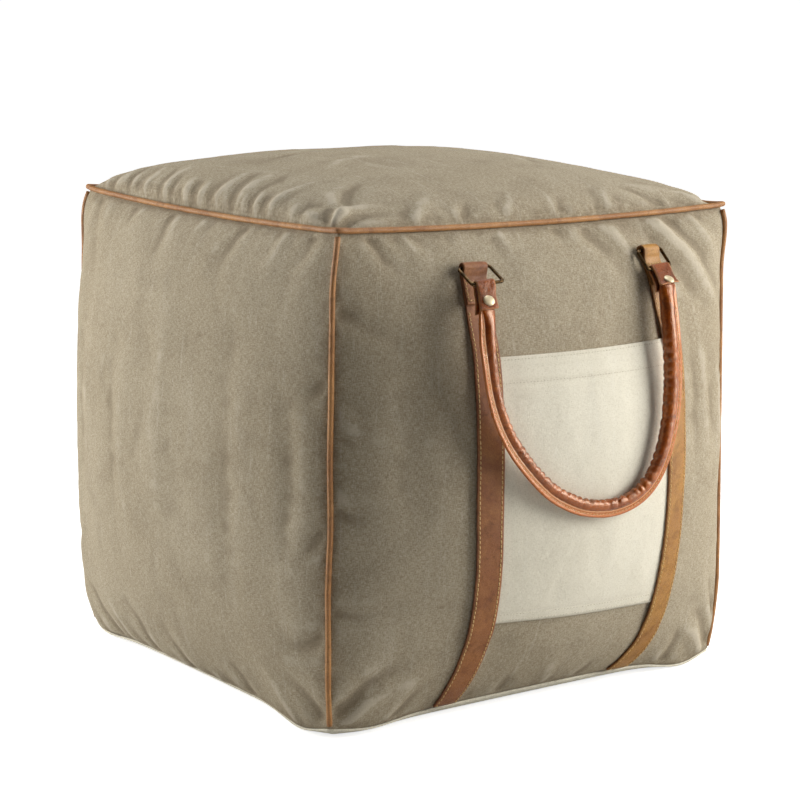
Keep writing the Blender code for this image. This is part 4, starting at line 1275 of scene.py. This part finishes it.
# --------------------------------------------------------------------------
# handle
# --------------------------------------------------------------------------
def build_handle():
    top, run, face, length = grip["left"]
    pts = [top + run * d for d in (0.0145, 0.0220, length)]
    pts += [np.array((x, table_value(HANDLE_OUT, z), z)) for x, z in HANDLE_LINE]
    top2, run2, face2, length2 = grip["right"]
    pts += [top2 + run2 * d for d in (length2, 0.0220, 0.0145)]
    path, dist = resample(catmull(pts, 12), 0.0010)
    total = dist[-1]
    end = np.minimum(dist, total - dist)
    hd = table_value(((0.0, 0.0028), (0.008, 0.0034), (0.0165, 0.0055), (0.026, HANDLE_R), (9, HANDLE_R)), end)
    hw = table_value(((0.0, 0.0080), (0.008, 0.0084), (0.0165, 0.0080), (0.026, HANDLE_R), (9, HANDLE_R)), end)
    slim = table_value(((0.0, 0.97), (0.10, 0.88), (0.30, 0.76), (0.54, 0.74), (0.66, 0.86), (0.78, 1.0), (1.0, 1.0)),
                       dist / total)
    hd, hw = hd * slim, hw * slim
    fl = table_value(((0.0, 0.0), (0.010, 0.0), (0.022, 0.7), (0.040, 1.0), (9, 1.0)), end)
    t = unit(np.gradient(path, axis=0))
    front = np.array((0, -1.0, 0))
    out = unit(front - t * (t @ front)[:, None])
    lateral = np.cross(t, out)
    middle = np.array((0.0, 0.0, 0.33))
    sgn = np.sign(((path - middle) * lateral).sum(-1))
    lateral = lateral * np.median(sgn)
    centre = path - lateral * (FLANGE_REACH * 0.5 * fl)[:, None]
    # how sharply the roll bends: puckers grow with it
    bend = np.linalg.norm(np.gradient(t, dist, axis=0), axis=1)
    bend = np.convolve(bend, np.ones(25) / 25, mode="same")
    tight = smoothstep((bend - 1.0) / 6.0)
    # pucker valleys along the roll
    r = np.random.default_rng(5)
    pos, valleys = 0.05, []
    while pos < total - 0.045:
        valleys.append((pos, 0.6 + 0.8 * r.random(), r.normal(0, 0.9), 0.0010 + 0.0007 * r.random(),
                        r.normal(0, 0.35)))
        pos += 0.0062 + 0.0030 * r.random()
    sides = 40
    ang = np.radians(np.linspace(20, 340, sides))          # 0 = towards the sewn edge
    A = ang[None, :]
    inner = np.clip(-np.cos(A), 0, 1)                      # 1 on the U's inside
    R = np.ones((len(path), sides))
    for p0, amp, skew, wid, bias in valleys:
        local = np.interp(p0, dist, tight) * np.interp(p0 / total, (0.0, 0.16, 0.28, 0.62, 0.74, 1.0),
                                                       (0.35, 0.60, 1.0, 1.0, 0.45, 0.30))
        d = dist[:, None] - p0 - skew * 0.0016 * np.sin(A) * 1.5
        span = np.clip(0.30 + 0.95 * inner + bias * 0.3 * np.sin(A), 0, 1.2)
        R -= amp * (0.020 + 0.165 * local) * span * np.exp(-np.abs(d / wid) ** 1.4)
        R += amp * (0.008 + 0.045 * local) * span * np.exp(-((np.abs(d) - 3.2 * wid) / (2.0 * wid)) ** 2)
    R += 0.012 * noise2(dist[:, None] / 0.006, A * 1.6, 9) + 0.02 * hash_noise(dist / 0.05, 4)[:, None]
    x = hw[:, None] * np.cos(A) * R
    y = hd[:, None] * np.sin(A) * R
    # flat sewn edge on the outer side: root, two lips and the edge between them
    reach = hw + FLANGE_REACH * fl * (1 + 0.05 * hash_noise(dist / 0.02, 15))
    root = hw * np.cos(np.radians(20))
    half = 0.0017 * fl + hd * math.sin(math.radians(20)) * (1 - fl)
    lip = []
    for fx, fy in ((0.10, 1.20), (0.26, 0.84), (0.50, 0.70), (0.72, 0.80), (0.90, 0.74), (0.985, 0.42)):
        lip.append((fx, fy))
    cols_x, cols_y = [], []
    for fx, fy in lip:                                      # back face, outwards
        cols_x.append(root + (reach - root) * fx)
        cols_y.append(-half * fy)
    for fx, fy in lip[::-1]:                                # front face, back to the roll
        cols_x.append(root + (reach - root) * fx)
        cols_y.append(half * fy)
    x = np.concatenate([x, np.array(cols_x).T], 1)
    y = np.concatenate([y, np.array(cols_y).T], 1)
    ring_xy = np.stack([x, y], -1)
    # the sewn edge leans to the front on the left arm
    lean = np.interp(dist, (0, 0.06, 0.16, 0.26, 0.36, total), (0.0, 0.35, 0.30, 0.10, 0.05, 0.0))
    ca, sa = np.cos(lean), np.sin(lean)
    a2 = lateral * ca[:, None] + out * sa[:, None]
    b2 = out * ca[:, None] - lateral * sa[:, None]
    total_sides = ring_xy.shape[1]
    flange_mask = np.concatenate([np.zeros(sides), np.ones(len(lip) * 2)])
    pucker = np.concatenate([1 - R, np.zeros((len(path), len(lip) * 2))], 1)
    # the ridge attribute marks the line of painted highlight along the sewn edge
    obj = tube("handle_leather_roll", centre, a2, b2, ring_xy, False, dist,
               {"edge": np.broadcast_to(flange_mask[None, :], (len(path), total_sides)) * 1.0,
                "ridge": fl[:, None] * np.concatenate([np.zeros(sides + 2 * len(lip) - 1), [1.0]])[None, :],
                "pucker": pucker})
    # stitches on the sewn edge, front and back
    ok = (end > 0.026)
    parts = []
    for sg in (1, -1):
        line = centre + a2 * (root + (reach - root) * 0.46)[:, None] + b2 * (sg * half * 0.76)[:, None]
        parts += stitch_row(line[ok], (b2 * sg)[ok], 0.0037, 0.0027, 0.00030, 0.00034, 120 + sg)
    thread = join_meshes("handle_thread", parts)
    return obj, thread


handle, handle_thread = build_handle()

# --------------------------------------------------------------------------
# materials
# --------------------------------------------------------------------------
def rgb(r, g, b):
    """sRGB 0-255 to linear."""
    c = np.array((r, g, b)) / 255.0
    c = np.where(c <= 0.04045, c / 12.92, ((c + 0.055) / 1.055) ** 2.4)
    return (float(c[0]), float(c[1]), float(c[2]), 1.0)


class Mat:
    """A small node-tree writer."""

    def __init__(self, name):
        self.mat = bpy.data.materials.new(name)
        self.mat.use_nodes = True
        self.tree = self.mat.node_tree
        self.shader = self.tree.nodes["Principled BSDF"]

    def node(self, kind, **props):
        n = self.tree.nodes.new(kind)
        for k, v in props.items():
            setattr(n, k, v)
        return n

    def link(self, a, b):
        self.tree.links.new(a, b)

    def coords(self, which="Object", scale=(1, 1, 1), rotate=(0, 0, 0)):
        if which == "UV":
            src = self.node("ShaderNodeUVMap", uv_map="panel").outputs["UV"]
        else:
            src = self.node("ShaderNodeTexCoord").outputs[which]
        m = self.node("ShaderNodeMapping")
        m.inputs["Scale"].default_value = scale
        m.inputs["Rotation"].default_value = rotate
        self.link(src, m.inputs["Vector"])
        return m.outputs["Vector"]

    def noise(self, vec, scale, detail=2.0, rough=0.5, distortion=0.0, lacunarity=2.0):
        n = self.node("ShaderNodeTexNoise")
        n.inputs["Scale"].default_value = scale
        n.inputs["Detail"].default_value = detail
        n.inputs["Roughness"].default_value = rough
        n.inputs["Lacunarity"].default_value = lacunarity
        n.inputs["Distortion"].default_value = distortion
        self.link(vec, n.inputs["Vector"])
        return n.outputs["Fac"]

    def voronoi(self, vec, scale, feature="DISTANCE_TO_EDGE", rand=1.0):
        n = self.node("ShaderNodeTexVoronoi", feature=feature)
        n.inputs["Scale"].default_value = scale
        n.inputs["Randomness"].default_value = rand
        self.link(vec, n.inputs["Vector"])
        return n.outputs["Distance"]

    def wave(self, vec, scale, direction="X", distortion=0.0, dscale=1.0, detail=1.0):
        n = self.node("ShaderNodeTexWave", bands_direction=direction, wave_profile="SIN")
        n.inputs["Scale"].default_value = scale
        n.inputs["Distortion"].default_value = distortion
        n.inputs["Detail"].default_value = detail
        n.inputs["Detail Scale"].default_value = dscale
        self.link(vec, n.inputs["Vector"])
        return n.outputs["Fac"]

    def math(self, op, a, b=None, clamp=False):
        n = self.node("ShaderNodeMath", operation=op, use_clamp=clamp)
        for i, v in enumerate((a, b)):
            if v is None:
                continue
            if isinstance(v, (int, float)):
                n.inputs[i].default_value = v
            else:
                self.link(v, n.inputs[i])
        return n.outputs[0]

    def span(self, v, lo, hi, out0=0.0, out1=1.0, smooth=True):
        n = self.node("ShaderNodeMapRange")
        n.interpolation_type = "SMOOTHSTEP" if smooth else "LINEAR"
        n.inputs["From Min"].default_value = lo
        n.inputs["From Max"].default_value = hi
        n.inputs["To Min"].default_value = out0
        n.inputs["To Max"].default_value = out1
        self.link(v, n.inputs["Value"])
        return n.outputs["Result"]

    def mix(self, fac, a, b, blend="MIX"):
        n = self.node("ShaderNodeMix", data_type="RGBA", blend_type=blend)
        if isinstance(fac, (int, float)):
            n.inputs[0].default_value = fac
        else:
            self.link(fac, n.inputs[0])
        for i, v in ((6, a), (7, b)):
            if isinstance(v, tuple):
                n.inputs[i].default_value = v
            else:
                self.link(v, n.inputs[i])
        return n.outputs[2]

    def attr(self, name):
        return self.node("ShaderNodeAttribute", attribute_name=name, attribute_type="GEOMETRY").outputs["Fac"]

    def bump(self, height, strength, distance, normal=None):
        n = self.node("ShaderNodeBump")
        n.inputs["Strength"].default_value = strength
        n.inputs["Distance"].default_value = distance
        self.link(height, n.inputs["Height"])
        if normal is not None:
            self.link(normal, n.inputs["Normal"])
        return n.outputs["Normal"]

    def set(self, **values):
        names = {"rough": "Roughness", "metal": "Metallic", "spec": "Specular IOR Level", "ior": "IOR",
                 "sheen": "Sheen Weight", "sheen_rough": "Sheen Roughness", "sheen_tint": "Sheen Tint",
                 "coat": "Coat Weight", "coat_rough": "Coat Roughness"}
        for k, v in values.items():
            self.shader.inputs[names[k]].default_value = v

    def out(self, colour=None, rough=None, normal=None, metal=None, coat=None):
        for name, v in (("Base Color", colour), ("Roughness", rough), ("Normal", normal), ("Metallic", metal)):
            if v is not None:
                self.link(v, self.shader.inputs[name])
        if normal is not None:
            self.link(normal, self.shader.inputs["Coat Normal"])
        return self.mat


def cloth_material(name, light, mid, dark, chalk, thread=0.00060, mottling=1.0, streak=0.5, slot_rough=0.92,
                   grain=1.0):
    m = Mat(name)
    uv = m.coords("UV")
    ob = m.coords("Object")
    # broad clouds of the wash, blotches, chalky rub marks and darker specks
    cloud = m.noise(ob, 5.5, 2.0, 0.5, 0.4)
    blotch = m.noise(ob, 19.0, 4.0, 0.62, 0.6)
    patch = m.noise(ob, 75.0, 4.0, 0.65, 0.3)
    rub = m.noise(m.coords("UV", (1.0, 0.14, 1.0), (0, 0, 0.10)), 62.0, 5.0, 0.62, 0.8)
    rub_fine = m.noise(m.coords("UV", (1.0, 0.10, 1.0), (0, 0, -0.22)), 260.0, 3.0, 0.6, 0.5)
    base = m.mix(m.span(cloud, 0.30, 0.70), mid, light)
    base = m.mix(m.math("MULTIPLY", m.span(blotch, 0.44, 0.74), 0.30 * mottling), base, dark)
    base = m.mix(m.math("MULTIPLY", m.span(rub, 0.54, 0.80), streak), base, chalk)
    base = m.mix(m.math("MULTIPLY", m.span(rub_fine, 0.56, 0.76), streak * 1.1), base, chalk)
    base = m.mix(m.math("MULTIPLY", m.span(patch, 0.50, 0.74), 0.14 * mottling), base, dark)
    # thin chalky lines where the wet cloth was pressed into folds
    lines = m.noise(m.coords("UV", (1.0, 0.035, 1.0), (0, 0, 0.06)), 330.0, 3.0, 0.55, 0.6)
    base = m.mix(m.math("MULTIPLY", m.span(lines, 0.62, 0.72), streak * 0.9), base, chalk)
    # yarns: two crossing sets, over and under
    pitch = 0.314159 / thread
    warp = m.wave(uv, pitch, "X", 0.6, 9.0)
    weft = m.wave(uv, pitch, "Y", 0.6, 9.0)
    over = m.math("ABSOLUTE", m.math("SUBTRACT", m.span(m.wave(uv, pitch / 2, "X"), 0.35, 0.65),
                                     m.span(m.wave(uv, pitch / 2, "Y"), 0.35, 0.65)))
    woven = m.math("ADD", m.math("MULTIPLY", warp, over),
                   m.math("MULTIPLY", weft, m.math("SUBTRACT", 1.0, over)))
    # thicker and thinner yarns, and the pepper of uneven dye
    slub_x = m.noise(m.coords("UV", (1.0, 0.16, 1.0)), 1500.0, 2.0, 0.6)
    slub_y = m.noise(m.coords("UV", (0.16, 1.0, 1.0)), 1500.0, 2.0, 0.6)
    slub = m.math("ADD", slub_x, slub_y)
    pepper = m.noise(ob, 820.0, 3.0, 0.75)
    base = m.mix(m.math("MULTIPLY", m.span(woven, 0.60, 0.05), 0.30 * grain), base, dark)
    base = m.mix(m.math("MULTIPLY", m.span(slub, 0.98, 1.20), 0.46 * grain), base, chalk)
    base = m.mix(m.math("MULTIPLY", m.span(slub, 0.98, 0.76), 0.52 * grain), base, dark)
    base = m.mix(m.math("MULTIPLY", m.span(pepper, 0.50, 0.70), 0.50 * grain), base, dark)
    base = m.mix(m.math("MULTIPLY", m.span(pepper, 0.46, 0.30), 0.34 * grain), base, chalk)
    # creases: rubbed pale on their ridges, with painted shade darkening their troughs
    fold = m.attr("fold")
    base = m.mix(m.math("MULTIPLY", m.span(m.math("MULTIPLY", fold, m.span(patch, 0.3, 0.7, 0.5, 1.3)), 0.12, 1.0), 0.55),
                 base, chalk)
    base = m.mix(m.math("MULTIPLY", m.span(fold, -0.10, -1.0), 0.50), base, dark)
    # painted shade: the canvas darkened along every seam, where the panels sink in
    seam = m.attr("seam")
    seam_shade = m.math("MULTIPLY", m.span(m.math("MULTIPLY", seam, m.span(patch, 0.3, 0.7, 0.4, 1.4)), 0.30, 1.0), 0.30)
    base = m.mix(seam_shade, base, dark)
    rough = m.span(blotch, 0.3, 0.7, slot_rough - 0.05, min(slot_rough + 0.05, 1.0))
    n = m.bump(m.noise(ob, 62.0, 5.0, 0.62, 0.5), 0.40, 0.0013)
    n = m.bump(slub, 0.45, 0.00026, n)
    n = m.bump(m.math("ADD", woven, pepper), 0.55, 0.00024, n)
    m.set(spec=0.15, sheen=0.12, sheen_rough=0.6)
    m.shader.inputs["Sheen Tint"].default_value = chalk
    return m.out(base, rough, n)


def leather_material(name, light, mid, dark, edge_colour, gloss_rough=(0.30, 0.48), grain=1.0, coat=0.15,
                     coat_rough=0.2, cell=900.0, pull=0.5, spec=0.5, warm=(1.0, 1.0, 1.0, 1.0), ior=1.5,
                     coat_ior=1.5):
    m = Mat(name)
    ob = m.coords("Object")
    cloud = m.noise(ob, 28.0, 4.0, 0.6, 0.8)
    patch = m.noise(ob, 95.0, 4.0, 0.62, 0.6)
    fine = m.noise(ob, 520.0, 3.0, 0.6)
    base = m.mix(m.span(cloud, 0.34, 0.66), mid, light)
    base = m.mix(m.math("MULTIPLY", m.span(patch, 0.48, 0.72), pull), base, dark)
    base = m.mix(m.math("MULTIPLY", m.span(fine, 0.5, 0.8), 0.35), base, dark)
    cells = m.voronoi(ob, cell)
    big = m.voronoi(ob, cell * 0.36)
    crack = m.math("MULTIPLY", m.span(cells, 0.0, 0.14), m.span(big, 0.0, 0.10, 0.55, 1.0))
    base = m.mix(m.math("MULTIPLY", m.math("SUBTRACT", 1.0, crack), 0.45), base, dark)
    edge = m.attr("edge")
    base = m.mix(m.math("MULTIPLY", m.span(m.math("MULTIPLY", edge, m.span(patch, 0.3, 0.7, 0.75, 1.25)), 0.35, 0.95), 0.75),
                 base, edge_colour)
    # painted highlight: a pale line along the sewn edge where the ridge attribute is set (the handle only)
    base = m.mix(m.math("MULTIPLY", m.attr("ridge"), 0.75), base, (0.78, 0.46, 0.24, 1.0))
    rough = m.math("ADD", m.span(patch, 0.30, 0.70, gloss_rough[0], gloss_rough[1]),
                   m.math("MULTIPLY", edge, 0.10), True)
    m.shader.inputs["Specular Tint"].default_value = warm
    m.shader.inputs["IOR"].default_value = ior
    m.shader.inputs["Coat IOR"].default_value = coat_ior
    n = m.bump(m.noise(ob, 210.0, 4.0, 0.6, 0.5), 0.5 * grain, 0.0008)
    n = m.bump(crack, 0.5 * grain, 0.00022, n)
    n = m.bump(fine, 0.4 * grain, 0.00018, n)
    m.set(spec=spec, coat=coat, coat_rough=coat_rough)
    return m.out(base, rough, n)


def metal_material(name, bright, tarnish, rough=(0.22, 0.5), amount=0.6, metal=1.0):
    m = Mat(name)
    ob = m.coords("Object")
    patch = m.noise(ob, 240.0, 4.0, 0.65, 0.5)
    fine = m.noise(ob, 1800.0, 3.0, 0.6)
    base = m.mix(m.math("MULTIPLY", m.span(patch, 0.42, 0.62), amount), bright, tarnish)
    base = m.mix(m.math("MULTIPLY", m.span(fine, 0.5, 0.75), 0.4), base, tarnish)
    r = m.span(patch, 0.35, 0.65, rough[0], rough[1])
    n = m.bump(fine, 0.25, 0.00012)
    m.set(metal=metal, spec=0.5)
    return m.out(base, r, n)


def thread_material(name, light, dark):
    m = Mat(name)
    ob = m.coords("Object")
    ply = m.noise(ob, 1500.0, 2.0, 0.6)
    soil = m.noise(ob, 60.0, 3.0, 0.6)
    base = m.mix(m.span(ply, 0.35, 0.65), dark, light)
    base = m.mix(m.math("MULTIPLY", m.span(soil, 0.5, 0.7), 0.35), base, dark)
    n = m.bump(ply, 0.5, 0.0002)
    rough = m.span(soil, 0.3, 0.7, 0.6, 0.85)
    m.set(spec=0.3)
    return m.out(base, rough, n)


CANVAS = cloth_material("canvas_washed", rgb(180, 168, 144), rgb(170, 157, 132), rgb(116, 102, 82),
                        rgb(206, 197, 178), streak=0.40)
CREAM = cloth_material("canvas_cream", rgb(240, 235, 217), rgb(233, 227, 208), rgb(178, 168, 144),
                       rgb(240, 237, 224), mottling=0.40, streak=0.30, grain=0.55)
PIPING = leather_material("leather_piping", rgb(192, 138, 78), rgb(166, 112, 58), rgb(112, 70, 36),
                          rgb(150, 98, 60), (0.38, 0.55), 1.0, 0.08, 0.3, 1200.0)
STRAP = leather_material("leather_strap", rgb(172, 112, 60), rgb(146, 88, 46), rgb(92, 52, 26),
                         rgb(108, 62, 32), (0.40, 0.56), 0.9, 0.06, 0.35, 1000.0)
# the right strap is the same leather as the left: this paler, more golden copy is painted light from the right side
STRAP_LIT_COPY = leather_material("leather_strap_lit_copy", rgb(186, 134, 56), rgb(162, 110, 42), rgb(112, 70, 26),
                              rgb(112, 66, 34), (0.40, 0.56), 0.9, 0.06, 0.35, 1000.0)
COGNAC = leather_material("leather_handle", rgb(184, 92, 22), rgb(142, 62, 12), rgb(68, 26, 5),
                          rgb(192, 104, 36), (0.15, 0.27), 0.7, 0.55, 0.06, 800.0, 0.6, 0.55,
                          (1.0, 0.70, 0.42, 1.0), 1.65, 1.5)
TABHIDE = leather_material("leather_tab", rgb(164, 82, 30), rgb(126, 55, 18), rgb(60, 24, 7),
                           rgb(200, 134, 80), (0.24, 0.40), 1.9, 0.30, 0.12, 560.0, 0.65, 0.5,
                           (1.0, 0.74, 0.50, 1.0), 1.6)
BRASS_OLD = metal_material("brass_antique", rgb(112, 88, 58), rgb(34, 27, 20), (0.24, 0.48), 0.80)
# pale brass, only part metal: its light diffuse colour is partly the brass, partly a painted reflection of the pale
# surroundings
BRASS_CAP = metal_material("brass_cap", rgb(242, 226, 190), rgb(200, 170, 122), (0.30, 0.42), 0.35, 0.35)
THREAD = thread_material("thread_tan", rgb(240, 212, 152), rgb(200, 164, 108))
THREAD_CREAM = thread_material("thread_cream", rgb(232, 226, 206), rgb(178, 168, 142))


def finish_with(obj, mat):
    obj.data.materials.clear()
    obj.data.materials.append(mat)
    obj.data.polygons.foreach_set("material_index", np.zeros(len(obj.data.polygons), np.int32))
    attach(obj, "root")


finish_with(body, CANVAS)
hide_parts("pouf_body")
finish_with(base, CREAM)
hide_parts("base_panel")
finish_with(pocket, CREAM)
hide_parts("pocket")
for obj, node in zip(pipings, ("piping_top",) + tuple("piping_" + n for n in ORDER)):
    finish_with(obj, PIPING)
    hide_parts(node)
finish_with(pocket_thread, THREAD_CREAM)
for which in ("left", "right"):
    obj, thread, run_len = straps[which]
    # the right strap gets the copy with painted light
    finish_with(obj, STRAP if which == "left" else STRAP_LIT_COPY)
    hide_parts("strap_" + which)
    finish_with(thread, THREAD)
    finish_with(rings[which], BRASS_OLD)
    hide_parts("ring_" + which)
    finish_with(tabs[which], TABHIDE)
    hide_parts("tab_" + which)
    finish_with(rivets[which], BRASS_CAP)
    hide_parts("rivet_" + which)
finish_with(handle, COGNAC)
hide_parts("handle")
finish_with(handle_thread, THREAD)

# --------------------------------------------------------------------------
# floor, light, colour
# --------------------------------------------------------------------------
def build_stage():
    size = 70.0
    floor = make_mesh("floor", np.array([(-size, -size, 0), (size, -size, 0), (size, size, 0), (-size, size, 0)]),
                      [(0, 1, 2, 3)], smooth=False)
    mat = bpy.data.materials.new("floor_pale")
    mat.use_nodes = True
    tree = mat.node_tree
    sh = tree.nodes["Principled BSDF"]
    sh.inputs["Base Color"].default_value = (0.68, 0.68, 0.675, 1)
    sh.inputs["Roughness"].default_value = 0.9
    sh.inputs["Specular IOR Level"].default_value = 0.1
    glow = tree.nodes.new("ShaderNodeEmission")
    glow.inputs["Color"].default_value = (1, 1, 1, 1)
    glow.inputs["Strength"].default_value = FLOOR_GLOW
    path = tree.nodes.new("ShaderNodeLightPath")
    mul = tree.nodes.new("ShaderNodeMath")
    mul.operation = "MULTIPLY"
    # paler away from the pouf, where the lights no longer reach
    where = tree.nodes.new("ShaderNodeTexCoord")
    far = tree.nodes.new("ShaderNodeVectorMath")
    far.operation = "LENGTH"
    ramp = tree.nodes.new("ShaderNodeMapRange")
    ramp.interpolation_type = "SMOOTHSTEP"
    ramp.inputs["From Min"].default_value = 0.45
    ramp.inputs["From Max"].default_value = 2.2
    ramp.inputs["To Min"].default_value = FLOOR_GLOW
    ramp.inputs["To Max"].default_value = 1.0
    tree.links.new(where.outputs["Object"], far.inputs[0])
    tree.links.new(far.outputs["Value"], ramp.inputs["Value"])
    tree.links.new(path.outputs["Is Camera Ray"], mul.inputs[0])
    tree.links.new(ramp.outputs["Result"], mul.inputs[1])
    tree.links.new(mul.outputs[0], glow.inputs["Strength"])
    add = tree.nodes.new("ShaderNodeAddShader")
    tree.links.new(sh.outputs[0], add.inputs[0])
    tree.links.new(glow.outputs[0], add.inputs[1])
    tree.links.new(add.outputs[0], tree.nodes["Material Output"].inputs["Surface"])
    floor.data.materials.append(mat)

    world = bpy.data.worlds.new("studio")
    bpy.context.scene.world = world
    world.use_nodes = True
    wt = world.node_tree
    bg = wt.nodes["Background"]
    bg.inputs["Color"].default_value = (1.0, 0.93, 0.85, 1)
    lp = wt.nodes.new("ShaderNodeLightPath")
    mr = wt.nodes.new("ShaderNodeMapRange")
    mr.inputs["To Min"].default_value = WORLD_LIGHT
    mr.inputs["To Max"].default_value = 1.0
    wt.links.new(lp.outputs["Is Camera Ray"], mr.inputs["Value"])
    wt.links.new(mr.outputs["Result"], bg.inputs["Strength"])


RIGHT = np.array((math.cos(math.radians(35.25)), -math.sin(math.radians(35.25)), 0.0))
BACK = np.array((-math.sin(math.radians(35.25)), -math.cos(math.radians(35.25)), 0.0))   # towards the camera


def softbox(name, at, aim, width, height, power, colour=(1, 1, 1)):
    data = bpy.data.lights.new(name, "AREA")
    data.shape = "RECTANGLE"
    data.size, data.size_y = width, height
    data.energy = power
    data.color = colour
    obj = bpy.data.objects.new(name, data)
    bpy.context.scene.collection.objects.link(obj)
    obj.location = Vector(at)
    obj.rotation_mode = "QUATERNION"
    obj.rotation_quaternion = (Vector(aim) - Vector(at)).to_track_quat("-Z", "Y")


FLOOR_GLOW = 0.76
WORLD_LIGHT = 0.032
build_stage()
softbox("light_right", RIGHT * 2.0 + BACK * 0.20 + np.array((0, 0, 0.95)), (0, 0, 0.25), 1.3, 1.5, 57.0, (1.0, 0.98, 0.95))
softbox("light_left", -RIGHT * 2.0 - BACK * 0.10 + np.array((0, 0, 0.62)), (0, 0, 0.15), 1.3, 1.5, 48.0, (1.0, 0.99, 0.97))
softbox("light_top", -BACK * 0.5 + np.array((0, 0, 2.3)), (0, 0, 0.3), 1.6, 1.6, 26.0, (0.97, 0.98, 1.0))
scene = bpy.context.scene
scene.view_settings.view_transform = "Standard"
scene.view_settings.look = "None"
scene.view_settings.exposure = 0.0
scene.view_settings.gamma = 1.0
